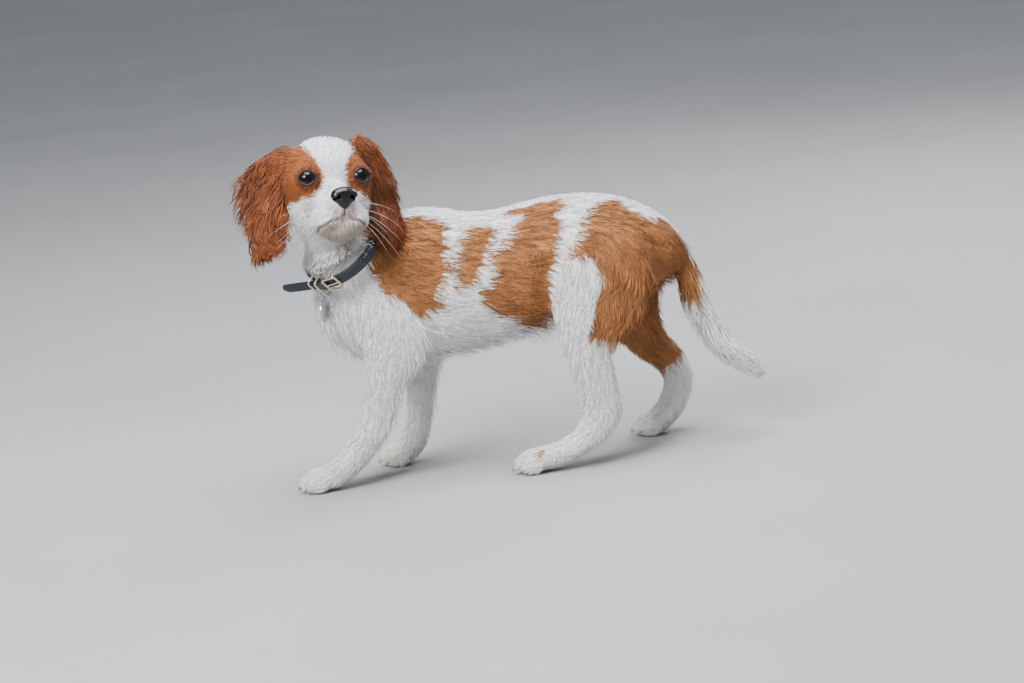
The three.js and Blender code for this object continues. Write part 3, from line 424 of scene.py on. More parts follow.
def surface_nets(values, low, step):
    """Quad mesh of the zero surface of a grid of distances."""
    inside = values < 0
    shape = np.array(values.shape) - 1
    total, count = np.zeros((*shape, 3)), np.zeros(shape)
    ends = (slice(None, -1), slice(1, None))
    for axis in range(3):
        others = [k for k in range(3) if k != axis]
        lo, hi = [slice(None)] * 3, [slice(None)] * 3
        lo[axis], hi[axis] = ends
        a, b = values[tuple(lo)], values[tuple(hi)]
        cross = inside[tuple(lo)] != inside[tuple(hi)]
        at = np.where(cross, a / np.where(cross, a - b, 1), 0)
        for i in (0, 1):
            for j in (0, 1):
                pick = [slice(None)] * 3
                pick[others[0]], pick[others[1]] = ends[i], ends[j]
                c = cross[tuple(pick)]
                total[..., axis] += np.where(c, at[tuple(pick)], 0)
                total[..., others[0]] += np.where(c, i, 0)
                total[..., others[1]] += np.where(c, j, 0)
                count += c
    active = count > 0
    index = np.full(shape, -1)
    index[active] = np.arange(active.sum())
    points = low + (np.argwhere(active) + total[active] / count[active][:, None]) * step
    quads = []
    for axis in range(3):
        others = [k for k in range(3) if k != axis]
        lo, hi = [slice(1, -1)] * 3, [slice(1, -1)] * 3
        lo[axis], hi[axis] = ends
        a, b = inside[tuple(lo)], inside[tuple(hi)]
        for flip, mask in ((False, a & ~b), (True, ~a & b)):
            base = np.argwhere(mask)
            base[:, others] += 1
            ring = []
            for i, j in ((0, 0), (1, 0), (1, 1), (0, 1)):
                cell = base.copy()
                cell[:, others[0]] -= 1 - i
                cell[:, others[1]] -= 1 - j
                ring.append(index[tuple(cell.T)])
            ring = np.stack(ring, 1)
            quads.append(ring[:, ::-1] if flip != (axis == 1) else ring)
    return points, np.concatenate(quads)


# Grid of distances over the whole body.
GRID_STEP, COARSE = 1.8, 4
GRID_LOW = np.array([-206.0, -122.0, -4.0])
GRID_CELLS = np.array([60, 30, 46])
COARSE_MARGIN, NEAR_SKIN = 30.0, 8.0


def grid_points(low, counts, step):
    axes = [low[k] + np.arange(counts[k]) * step for k in range(3)]
    return np.stack(np.meshgrid(*axes, indexing="ij"), -1)


def refine(values, times):
    """Straight-line refinement of a grid of values."""
    for axis in range(3):
        values = np.moveaxis(values, axis, 0)
        f = (np.arange(times) / times).reshape(1, times, 1, 1)
        fine = (values[:-1, None] * (1 - f) + values[1:, None] * f).reshape(-1, *values.shape[1:])
        values = np.moveaxis(np.concatenate([fine, values[-1:]]), 0, axis)
    return values


def sample_grid():
    """Distances over the whole body: exact near the skin, coarse away from it."""
    coarse = grid_points(GRID_LOW, GRID_CELLS + 1, GRID_STEP * COARSE)
    rough = skin_distance(coarse.reshape(-1, 3), COARSE_MARGIN).reshape(coarse.shape[:3])
    fine = refine(rough, COARSE)
    near = np.abs(fine) < NEAR_SKIN
    fine[near] = skin_distance(grid_points(GRID_LOW, fine.shape, GRID_STEP)[near])
    return fine


class Field:
    """Looks up distance and outward direction on the grid."""

    def __init__(self, values):
        self.values = values
        self.top = np.array(values.shape) - 1.001

    def distance(self, points):
        at = np.clip((points - GRID_LOW) / GRID_STEP, 0, self.top)
        i = at.astype(int)
        f = at - i
        total = 0
        for a in (0, 1):
            for b in (0, 1):
                for c in (0, 1):
                    w = abs(1 - a - f[:, 0]) * abs(1 - b - f[:, 1]) * abs(1 - c - f[:, 2])
                    total = total + w * self.values[i[:, 0] + a, i[:, 1] + b, i[:, 2] + c]
        return total

    def outward(self, points, reach=1.6):
        slopes = [self.distance(points + reach * e) - self.distance(points - reach * e) for e in np.eye(3)]
        return unit(np.stack(slopes, 1))


def collar_place(points):
    """Height over the middle of the strap, distance to the collar's left and distance ahead."""
    q = points - COLLAR_CENTRE
    return q @ COLLAR_NORMAL, q @ COLLAR_SIDE, q @ COLLAR_FRONT


def strap_swell(points):
    """Distance to the strap seen as a smooth swell, which the coat climbs over."""
    rise, aside, ahead = collar_place(points)
    turn = np.arctan2(ahead / COLLAR_DEEP, aside / COLLAR_ACROSS)
    ring = np.hypot(COLLAR_ACROSS * np.cos(turn), COLLAR_DEEP * np.sin(turn))
    slope = 1.2 * np.maximum(np.abs(rise) - STRAP_TALL / 2, 0)
    off = (np.hypot(aside, ahead) - ring - STRAP_THICK / 2 - 0.5 + slope) * 0.85
    return np.where(np.abs(rise) < 16, off, 60.0)


def settle(points, distance, steps=2, reach=0.4):
    """Move points onto the zero surface of a distance function."""
    for _ in range(steps):
        d = distance(points)
        slope = np.stack([distance(points + reach * e) - d for e in np.eye(3)], 1) / reach
        size = np.maximum((slope**2).sum(1, keepdims=True), 0.25)
        points = points - np.clip(d[:, None] * slope / size, -1.5, 1.5)
    return points


def split_quads(points, quads, chosen):
    """Divide the chosen quads in four, and those beside them into smaller polygons without gaps."""
    mesh = bpy.data.meshes.new("split")
    mesh.from_pydata(points.tolist(), [], [list(q) for q in quads])
    bm = bmesh.new()
    bm.from_mesh(mesh)
    bm.faces.ensure_lookup_table()
    edges = {e for k in np.flatnonzero(chosen) for e in bm.faces[k].edges}
    bmesh.ops.subdivide_edges(bm, edges=list(edges), cuts=1, use_grid_fill=True)
    bmesh.ops.triangulate(bm, faces=[f for f in bm.faces if len(f.verts) > 4])
    bm.verts.index_update()
    points = np.array([v.co[:] for v in bm.verts])
    faces = [[v.index for v in f.verts] for f in bm.faces]
    bm.free()
    bpy.data.meshes.remove(mesh)
    return points, faces


def face_centres(points, faces):
    return np.array([points[f].mean(0) for f in faces])


def fine_places(points):
    """Places on the face that need small faces: round the eyes and along the mouth."""
    local = to_head(points)
    fine = np.zeros(len(points), bool)
    for sign in (1, -1):
        fine |= np.linalg.norm(local - eye_axes(sign)[0] - [6, 0, 0], axis=1) < 15
    near = local[:, 0] > -25
    fine[near] |= line_distance(local[near], MOUTH) < 5
    fine[near] |= line_distance(local[near], PHILTRUM) < 4
    return fine


# Colours and markings.
def waves(points, size, seed, count=7):
    """Smooth unevenness between about -1 and 1, with features of the given size."""
    rng = np.random.default_rng(seed)
    total = 0
    for _ in range(count):
        direction = unit(rng.normal(size=3)) * rng.uniform(0.7, 1.5) * 2 * math.pi / size
        total = total + np.sin(points @ direction + rng.uniform(0, 6.28))
    return total / math.sqrt(count) / 1.2


def smooth(low, high, x):
    t = np.clip((x - low) / (high - low), 0, 1)
    return t * t * (3 - 2 * t)


# Patches on the trunk and thighs: x in mm and degrees up the flank (0 is level with the side, 90 the back).
NEAR_PATCHES = [
    [(-112, 34), (-106, 11), (-90, 3), (-86, -11), (-70, -13), (-56, -3), (-48, 20), (-42, 40), (-44, 62),
     (-75, 76), (-104, 62)],
    [(-16, 62), (-2, 59), (-9, 33), (-24, 9), (-38, 7), (-41, 20), (-36, 38), (-29, 50)],
    [(9, 76), (60, 82), (54, 29), (45, 3), (41, -47), (19, -72), (8, -35), (-15, -13), (-17, 2), (-7, 11),
     (-8, 26), (4, 41), (18, 52), (22, 64)],
    [(84, 62), (63, 16), (56, 4), (76, 10), (86, -4), (96, -18), (92, -52), (106, -60), (112, -92),
     (174, -92), (174, 74), (147, 78), (134, 60), (119, 61), (104, 80)],
]
FAR_PATCHES = [
    [(-116, 66), (-110, 30), (-96, 12), (-66, -2), (-46, 14), (-52, 44), (-60, 76)],
    [(-20, 80), (-26, 40), (-12, 2), (22, -14), (44, 8), (40, 46), (20, 84)],
    [(70, 72), (78, 30), (92, -8), (108, -54), (112, -92), (174, -92), (174, 30), (143, 46), (118, 84)],
]
# Length in mm of one degree round the flank.
DEGREE = 0.87


def outline_distance(x, y, outline):
    """Signed distance to a closed outline, negative inside."""
    best, inside = np.full(len(x), FAR), np.zeros(len(x), bool)
    for (ax, ay), (bx, by) in zip(outline, outline[1:] + outline[:1]):
        ay, by = ay * DEGREE, by * DEGREE
        ex, ey = bx - ax, by - ay
        h = np.clip(((x - ax) * ex + (y - ay) * ey) / (ex * ex + ey * ey), 0, 1)
        best = np.minimum(best, np.hypot(x - ax - h * ex, y - ay - h * ey))
        over = (ay > y) != (by > y)
        inside ^= over & (x < ax + (y - ay) * ex / (ey if ey else 1e-9))
    return np.where(inside, -best, best)


PART = {name: k for k, name in enumerate([length.name for length in LENGTHS] + ["head"])}


def is_part(part, *names):
    return np.isin(part, [PART[name] for name in names])


def strap_place(points):
    """Height over the middle of the strap and distance from the axis of its loop."""
    q = points - COLLAR_CENTRE
    return q @ COLLAR_NORMAL, np.linalg.norm(np.cross(q, COLLAR_NORMAL), axis=1)


def above_strap(points):
    """1 just above the strap at the throat, where the coat hangs over it, and 0 away from it."""
    rise, aside, ahead = collar_place(points)
    turn = np.degrees(np.arctan2(ahead, aside))
    front = smooth(58, 70, turn) * smooth(125, 110, turn)
    return front * smooth(16, 10, rise) * smooth(1, 4, rise) * (strap_place(points)[1] < NECK_REACH)


# Lie of the coat: where it parts on the nose, how it turns at the throat, and how fast a part's say fades.
NOSE_PARTING, BACKWARDS, THROAT_WAY = (24, 0, -16), np.array([-0.5, 0, -0.3]), (0.25, 0.1, -1)
DOWN, FADE, HEAD_LEAD = np.array([0, 0, -1.0]), 3.5, 0.5
FALL, NECK_FALL, EAR_FALL, TRUNK_FALL, EAR_SPREAD = 0.15, 0.25, 0.3, 0.32, 0.55
HEAD_REAR, HEAD_DROP = 16, 13
TOE_WAY = (-0.8, 0, -0.25)


def length_flow(length, points, at, turn):
    """Lie of the coat on a body length: along it and a little downwards."""
    along, across = length.spine(at)
    fall = FALL
    if length.name == "neck":
        along, fall = -along, NECK_FALL
    if length.name.startswith("ear"):
        spread = EAR_SPREAD * np.cos(np.radians(turn)) * smooth(1.5, 3.5, at)
        along, fall = along + across * spread[:, None], EAR_FALL
    if length.name == "trunk":
        x = points[:, :1]
        fall = TRUNK_FALL + 1.4 * smooth(-100, -132, x) + 0.8 * smooth(105, 138, x)
    return unit(along + fall * DOWN)


def head_flow(local):
    """Lie of the coat on the head: away from the nose, outwards round the eyes, down at the throat."""
    run = unit(unit(local - NOSE_PARTING) + BACKWARDS * smooth(16, -20, local[:, :1]))
    for r, away, outwards in both_eyes(local):
        weight = (smooth(8.0, 1.5, away) * (r < EYE_RADIUS + 8))[:, None]
        run = unit(run * (1 - weight) + outwards * weight)
    weight = (smooth(-38, -50, local[:, 2]) * smooth(10, -6, local[:, 0]))[:, None]
    return unit(run * (1 - weight) + HEAD_AXES @ THROAT_WAY * weight) @ HEAD_AXES


def survey(points):
    """Body part, place along it, angle round it and the lie of the coat at each point."""
    n = len(points)
    nearest, part = np.full(n, FAR), np.zeros(n, int)
    place, angle, flow = np.zeros(n), np.zeros(n), np.zeros((n, 3))

    def enter(number, pick, d, at, turn, run, lead=0.0):
        flow[pick] += np.exp(-np.maximum(d, -2) / FADE)[:, None] * run
        closer = d < nearest[pick] + lead
        chosen = pick[closer]
        nearest[chosen], part[chosen] = d[closer], number
        place[chosen], angle[chosen] = at[closer], turn[closer]

    for k, length in enumerate(LENGTHS):
        pick = np.flatnonzero(length.near(points, 14))
        if len(pick):
            d, at, turn = length.distance(points[pick])
            enter(k, pick, d, at, turn, length_flow(length, points[pick], at, turn))
    pick = np.flatnonzero(np.all((points > HEAD_LOW) & (points < HEAD_HIGH), axis=1))
    if len(pick):
        local = to_head(points[pick])
        f, l, u = local.T
        at = np.arctan2(u + HEAD_DROP, np.hypot(f + HEAD_REAR, l))
        turn = np.degrees(np.arctan2(l, f + HEAD_REAR))
        enter(PART["head"], pick, head_base(local) + HEAD_DEPTH, at, turn, head_flow(local), HEAD_LEAD)
    for toe in TOES:
        flow[np.linalg.norm((points - toe) / TOE_HALF, axis=1) < 1.35] += TOE_WAY
    flow = unit(flow) - COLLAR_NORMAL * (2.5 * above_strap(points))[:, None]
    return part, place, angle, unit(flow)


# Where the red ends: down each hind leg and along the tail, counted in rows. A small spot is on one paw.
RED_LEG_END, RED_TAIL_END = {"hindleg_left": 3.6, "hindleg_right": 6.2}, 2.9
PAW_SPOT, PAW_SPOT_RADIUS = (22, -56, 22), 5
# The blaze's half width against height on the head, and the red's lower edge against distance aside.
BLAZE = (-5, 8, 28, 40), (10.5, 10.5, 20, 20)
CHEEK = (12, 24, 34, 42), (-12, -14, -19, -34)


def chestnut_weight(points, part, place, angle):
    """How far a place is inside the red markings, in mm, negative where the coat is white."""
    inside = np.full(len(points), -20.0)
    rows = np.array(TRUNK, float).T
    middle, half, above, below = (np.interp(points[:, 0], rows[0], rows[k]) for k in (2, 3, 4, 5))
    tall = np.where(points[:, 2] > middle, above, below)
    up = np.degrees(np.arctan2((points[:, 2] - middle) / tall, np.abs(points[:, 1]) / half)) * DEGREE
    body = is_part(part, "trunk", "neck", "hindleg_left", "hindleg_right")
    for patches, side in ((NEAR_PATCHES, points[:, 1] < 0), (FAR_PATCHES, points[:, 1] >= 0)):
        pick = body & side
        if pick.any():
            inside[pick] = -np.min([outline_distance(points[pick, 0], up[pick], o) for o in patches], axis=0)
    for name, stop in RED_LEG_END.items():
        leg = is_part(part, name)
        rear = smooth(25, 75, angle[leg]) if name == "hindleg_left" else 1.0
        upper = np.maximum(inside[leg], (12 * rear - 6) * (place[leg] > 0.8))
        lower = np.minimum(inside[leg], (stop - place[leg]) * 16)
        inside[leg] = np.where(place[leg] < stop, upper, lower)
    tail = is_part(part, "tail")
    ridge = 11 * smooth(40, 20, np.abs(angle[tail] - 90)) * smooth(0.6, 1.4, place[tail])
    inside[tail] = np.minimum((RED_TAIL_END - place[tail]) * 18, 10) - ridge
    head = is_part(part, "head")
    f, l, u = to_head(points[head]).T
    wide = np.interp(u, *BLAZE) - 6 * smooth(-45, -70, f)
    inside[head] = np.minimum(np.abs(l) - wide, u - np.interp(np.abs(l), *CHEEK))
    inside[is_part(part, "ear_left", "ear_right")] = 20.0
    return np.maximum(inside, PAW_SPOT_RADIUS - np.linalg.norm(points - PAW_SPOT, axis=1))


EAR_RED, FACE_RED, BODY_RED = (0.195, 0.050, 0.012), (0.31, 0.092, 0.020), (0.38, 0.150, 0.048)
# The tan grey in this row is painted shade under the jaw and down the throat.
WHITE, WARM_WHITE, THROAT_SHADE = (0.90, 0.90, 0.92), (0.82, 0.78, 0.72), (0.44, 0.36, 0.27)
PINK, LIP_DARK, GROOVE_DARK = (0.62, 0.36, 0.33), (0.12, 0.06, 0.045), (0.05, 0.035, 0.035)
TEAR_BROWN, EYE_SHADE, RIM_DARK = (0.16, 0.055, 0.02), (0.10, 0.032, 0.010), (0.018, 0.010, 0.008)
# Line of the tears below an eye, from the eye's centre, on the dog's left.
TEAR_LINE = np.array([(8, -8, -5), (5, -10, -14), (0, -9, -20)])
LID_RAGGED = 0.3


def mix(a, b, w):
    w = np.asarray(w)[..., None]
    return np.asarray(a) * (1 - w) + np.asarray(b) * w


def face_colour(colour, local, red, on_lids):
    """The coat's colour with the lips, the grooves, the marks of tears, painted shade round the eyes and the
    rims of the eyes.
    """
    lip = line_distance(local, MOUTH)
    middle = np.linalg.norm(local - PHILTRUM[-1], axis=1)
    colour = mix(colour, PINK, 0.7 * smooth(17, 4, middle) * smooth(-42, -26, local[:, 2]))
    colour = mix(colour, PINK, 0.4 * smooth(3.0, 1.4, lip))
    colour = mix(colour, LIP_DARK, 0.85 * smooth(1.2, 0.5, lip))
    colour = mix(colour, GROOVE_DARK, 0.8 * smooth(2.0, 0.7, line_distance(local, PHILTRUM)))
    for sign in (1, -1):
        r, away, _ = eye_polar(local, sign)
        close = r < EYE_RADIUS + 4
        tear = smooth(3.5, 0, line_distance(local, eye_axes(sign)[0] + TEAR_LINE * (1, sign, 1)))
        colour = mix(colour, TEAR_BROWN, 0.45 * tear * (red > 0.3))
        # Painted shade in dark brown round each eye, in its socket.
        colour = mix(colour, EYE_SHADE, 0.7 * smooth(5.0, 1.4, away) * close)
        rim = smooth(1.9, 1.0, away) if on_lids else smooth(1.3, 0.8, away)
        colour = mix(colour, RIM_DARK, rim * close)
    return colour


def coat_colour(points, part, place, angle, on_lids=False):
    """Colour of the coat, one for each point."""
    inside = chestnut_weight(points, part, place, angle)
    ragged = LID_RAGGED if on_lids else 1.0
    inside = inside + ragged * (2.2 * waves(points, 17, 3) + 1.3 * waves(points, 6, 4))
    red = smooth(-1.2, 1.2, inside)
    tone = 0.5 + 0.5 * waves(points, 26, 5)
    local = to_head(points)
    head = is_part(part, "head")
    base = np.tile(BODY_RED, (len(points), 1))
    base[head] = FACE_RED
    base[is_part(part, "ear_left", "ear_right")] = EAR_RED
    base = base * (0.82 + 0.36 * tone)[:, None]
    low = 0.25 * (waves(points, 34, 6) + 1) * smooth(130, 60, points[:, 2])
    white = mix(WHITE, WARM_WHITE, np.clip(0.15 + low + 0.35 * smooth(20, 5, points[:, 2]), 0, 0.8))
    # Painted shade in tan grey under the jaw, and on the neck's front above the strap.
    throat = head & (local[:, 2] < MOUTH_TOP - 6)
    forward = smooth(-34, 4, local[:, 0]) * smooth(30, 14, np.abs(local[:, 1]))
    white = mix(white, THROAT_SHADE, 0.85 * throat * forward)
    below = is_part(part, "neck") & (local[:, 0] > -30)
    white = mix(white, THROAT_SHADE, 0.5 * below * smooth(5, 14, collar_place(points)[0]))
    colour = mix(white, base, red)
    near = head & (local[:, 0] > -20)
    if near.any():
        colour[near] = face_colour(colour[near], local[near], red[near], on_lids)
    return colour


# Meshes and materials.
def link(name, data):
    """Object that holds some data, in the scene."""
    piece = bpy.data.objects.new(name, data)
    bpy.context.scene.collection.objects.link(piece)
    return piece


def add_object(name, points, faces, material, smooth_faces=True):
    """Mesh object from points in mm in the body's frame."""
    mesh = bpy.data.meshes.new(name)
    placed = (np.asarray(points, float) + SHIFT) * MM
    mesh.from_pydata(placed.tolist(), [], [list(map(int, f)) for f in faces])
    mesh.polygons.foreach_set("use_smooth", [smooth_faces] * len(mesh.polygons))
    mesh.materials.append(material)
    return link(name, mesh)


def paint(mesh, colour):
    layer = mesh.color_attributes.new("Coat", "FLOAT_COLOR", "POINT")
    full = np.ones((len(mesh.vertices), 4), np.float32)
    full[:, :3] = colour
    layer.data.foreach_set("color", full.ravel())


# Tones of the finishes.
LEATHER_TONES = (0.006, 0.008, 0.016), (0.022, 0.026, 0.04)
NOSE_TONES = (0.006, 0.0055, 0.006), (0.002, 0.002, 0.002)
HORN_TONES = (0.10, 0.075, 0.06), (0.30, 0.24, 0.20)
STEEL_TONES = (0.72, 0.72, 0.74), (0.45, 0.45, 0.47)
BRASS_TONES = (0.80, 0.70, 0.52), (0.55, 0.46, 0.32)
THREAD_TONES = (0.03, 0.035, 0.06), (0.07, 0.08, 0.12)
HAIR_TONES = (0.62, 0.60, 0.57), (0.86, 0.85, 0.83)
LID_EDGE_TONES = (0.10, 0.065, 0.06), (0.18, 0.12, 0.11)
FLOOR_TONES = (0.28, 0.28, 0.275), (0.31, 0.31, 0.305)


class Finish:
    """A node material under construction."""

    def __init__(self, name, **constants):
        self.material = bpy.data.materials.new(name)
        self.material.use_nodes = True
        self.nodes, self.links = self.material.node_tree.nodes, self.material.node_tree.links
        self.shader = self.nodes["Principled BSDF"]
        for key, value in constants.items():
            self.shader.inputs[key.replace("_", " ")].default_value = value

    def node(self, kind, links=(), **values):
        node = self.nodes.new("ShaderNode" + kind)
        for key, value in values.items():
            if hasattr(node, key):
                setattr(node, key, value)
            else:
                node.inputs[key.replace("_", " ")].default_value = value
        for source, socket in links:
            self.links.new(source, node.inputs[socket])
        return node

    def noise(self, scale, detail, stretch=(1, 1, 1), uv=None):
        coordinates = self.node("UVMap", uv_map=uv) if uv else self.node("TexCoord")
        source = coordinates.outputs["UV" if uv else "Object"]
        mapping = self.node("Mapping", [(source, "Vector")], Scale=stretch)
        node = self.node("TexNoise", [(mapping.outputs[0], "Vector")], Scale=scale, Detail=detail)
        return node.outputs["Fac"]

    def ramp(self, source, low, high, a=0.3, b=0.7):
        """A value between two levels as the source goes from a to b."""
        node = self.node("MapRange", [(source, 0)], From_Min=a, From_Max=b, To_Min=low, To_Max=high)
        return node.outputs[0]

    def blend(self, factor, a, b):
        node = self.nodes.new("ShaderNodeMix")
        node.data_type = "RGBA"
        for value, socket in ((factor, 0), (a, 6), (b, 7)):
            if isinstance(value, (tuple, float, int)):
                node.inputs[socket].default_value = (*value, 1) if isinstance(value, tuple) else value
            else:
                self.links.new(value, node.inputs[socket])
        return node.outputs[2]

    def shade(self, colour, level):
        """Colour times a level."""
        scaled = self.node("VectorMath", [(colour, 0)], operation="SCALE")
        self.links.new(level, scaled.inputs["Scale"])
        return scaled.outputs[0]

    def connect(self, **sources):
        for key, source in sources.items():
            self.links.new(source, self.shader.inputs[key.replace("_", " ")])
        return self

    def bump(self, height, distance, strength=1.0):
        node = self.node("Bump", [(height, "Height")], Distance=distance, Strength=strength)
        self.links.new(node.outputs[0], self.shader.inputs["Normal"])
        return self


def coat_finish():
    finish = Finish("coat", Roughness=0.6, Sheen_Weight=0.05, Sheen_Roughness=0.5, Specular_IOR_Level=0.22)
    colour = finish.node("VertexColor", layer_name="Coat").outputs[0]
    strands = finish.noise(2.6, 2.0, stretch=(1.0, 0.1, 1), uv="Strand")
    colour = finish.shade(colour, finish.ramp(strands, 0.82, 1.12))
    return finish.connect(Base_Color=colour).bump(strands, 0.0004, 0.6).material


def skin_finish(name, roughness, relief):
    finish = Finish(name, Roughness=roughness, Specular_IOR_Level=0.3)
    colour = finish.node("VertexColor", layer_name="Coat").outputs[0]
    fur = finish.noise(900, 4.0)
    colour = finish.shade(colour, finish.ramp(fur, 0.75, 1.05))
    return finish.connect(Base_Color=colour).bump(fur, relief, 0.7).material


def leather_finish():
    finish = Finish("leather", Specular_IOR_Level=0.5)
    grain = finish.noise(1400, 6.0)
    wear = finish.noise(160, 4.0)
    share = finish.ramp(wear, 0.0, 1.0, 0.42, 0.7)
    finish.connect(Base_Color=finish.blend(share, *LEATHER_TONES),
                   Roughness=finish.ramp(wear, 0.38, 0.6))
    return finish.bump(grain, 0.0003, 0.6).material


def metal_finish(name, light, dull):
    finish = Finish(name, Metallic=1.0)
    marks = finish.noise(700, 5.0)
    colour = finish.blend(finish.ramp(marks, 0.0, 1.0, 0.35, 0.7), dull, light)
    finish.connect(Base_Color=colour, Roughness=finish.ramp(marks, 0.38, 0.2))
    return finish.bump(marks, 0.00008, 0.4).material


def eye_finish():
    finish = Finish("eye", Roughness=0.04, Specular_IOR_Level=0.28)
    colour = finish.node("VertexColor", layer_name="Coat").outputs[0]
    fibres = finish.noise(1800, 3.0)
    return finish.connect(Base_Color=finish.shade(colour, finish.ramp(fibres, 0.7, 1.25))).material


def nose_finish():
    finish = Finish("nose", Specular_IOR_Level=0.45)
    coordinates = finish.node("TexCoord").outputs["Object"]
    cells = finish.node("TexVoronoi", [(coordinates, "Vector")], Scale=1300.0).outputs["Distance"]
    patches = finish.noise(250, 3.0)
    colour = finish.blend(finish.ramp(cells, 0.0, 1.0, 0.1, 0.6), *NOSE_TONES)
    finish.connect(Base_Color=colour, Roughness=finish.ramp(patches, 0.16, 0.3))
    return finish.bump(cells, 0.00012, 0.5).material


def horn_finish():
    finish = Finish("horn", Roughness=0.35, Specular_IOR_Level=0.5)
    streaks = finish.noise(500, 4.0, stretch=(0.3, 1, 1))
    colour = finish.blend(finish.ramp(streaks, 0.0, 1.0), *HORN_TONES)
    return finish.connect(Base_Color=colour).bump(streaks, 0.0001).material


def plain_finish(name, a, b, scale, roughness):
    finish = Finish(name, Roughness=roughness)
    spots = finish.noise(scale, 4.0)
    return finish.connect(Base_Color=finish.blend(finish.ramp(spots, 0.0, 1.0), a, b)).material


COAT, SKIN = coat_finish(), skin_finish("skin", 0.7, 0.0006)
LEATHER, EYE, NOSE, HORN = leather_finish(), eye_finish(), nose_finish(), horn_finish()
STEEL = metal_finish("steel", *STEEL_TONES)
BRASS = metal_finish("pale_brass", *BRASS_TONES)
THREAD = plain_finish("thread", *THREAD_TONES, 3000, 0.8)
HAIR = plain_finish("whisker", *HAIR_TONES, 400, 0.4)
LID_SKIN = skin_finish("lid_skin", 0.5, 0.0002)
EYE_LIP = plain_finish("eyelid_edge", *LID_EDGE_TONES, 800, 0.3)

# Skin.
grid = sample_grid()
around = grid_points(GRID_LOW, grid.shape, GRID_STEP)
near_strap = np.linalg.norm(around - COLLAR_CENTRE, axis=-1) < 62
over_strap = grid.copy()
over_strap[near_strap] = np.minimum(grid[near_strap], strap_swell(around[near_strap]))
FIELD = Field(over_strap)
skin_points, skin_faces = surface_nets(grid, GRID_LOW, GRID_STEP)
skin_points = settle(skin_points, skin_distance, 1)


def fine_distance(points):
    return skin_distance(points, fine=True)


for level in range(2):
    centres = face_centres(skin_points, skin_faces)
    skin_points, skin_faces = split_quads(skin_points, skin_faces, fine_places(centres))
    small = fine_places(skin_points)
    skin_points[small] = settle(skin_points[small], fine_distance, 3, 0.2)
skin = add_object("skin", skin_points, skin_faces, SKIN)
# The skin takes the coat's colours darkened to 0.85: painted shade under the tufts.
paint(skin.data, coat_colour(skin_points, *survey(skin_points)[:3]) * 0.85)


# Tufts: each is a closed three-sided blade. Widths by the number of stations, depth of the root under the skin,
# pull to the lock's middle and size on the bake map. Then the uneven tone of locks, the painted shade at the
# roots, the tips' tone and triangle limits.
TUFT_WIDTHS = {3: (0.8, 1.0, 0.62), 4: (0.7, 1.0, 0.85, 0.5), 6: (0.6, 0.95, 1.0, 0.86, 0.64, 0.36)}
SINK, GATHER, BAKE_PATCH = 0.9, 0.85, 0.0015
# The two root levels darken each tuft towards its root, as painted shade deep in the coat; on the ears it is
# much darker.
LOCK_TONE, EAR_LOCK_TONE, ROOT_SHADE, EAR_ROOT_SHADE, TIP_TONE = 0.045, 0.2, 0.92, 0.5, 1.06
CELL_NUMBERS = np.array([1_000_003, 10_007, 101])
TRIANGLES, PIECE_TRIANGLES = 1_640_000, 190_000

# Coat lengths in mm: on the plain parts, where it grows longer, and where it is cropped.
TRUNK_COAT, NECK_COAT, FORELEG_COAT, HINDLEG_COAT = 12, 12, 7.5, 8.5
TAIL_COAT, EAR_COAT, HEAD_COAT = 16, 18, 5.5
BELLY_MORE, FRINGE_MORE, CHEST_MORE, THROAT_MORE, FORELEG_FRINGE, HINDLEG_FRINGE = 8, 9, 3, 3, 12, 10
UPPER_LEG_MORE, TAIL_MORE, EAR_MORE, EAR_TIP_LESS, NAPE_MORE, CROWN_MORE, CHEEK_MORE = 4, 8, 8, 15, 6, 2.5, 3
MUZZLE_COAT, FOOT_COAT, STRAP_GAP, HANG_MORE = 3.4, 4.2, 2.2, 5
# Coat round the eyes: distance from an eye's centre against length.
EYE_COAT = (10, 13, 20, 30), (2.2, 3.0, 4.6, 14)
HEAD_NARROWER, HANG_NARROWER = 0.7, 0.3


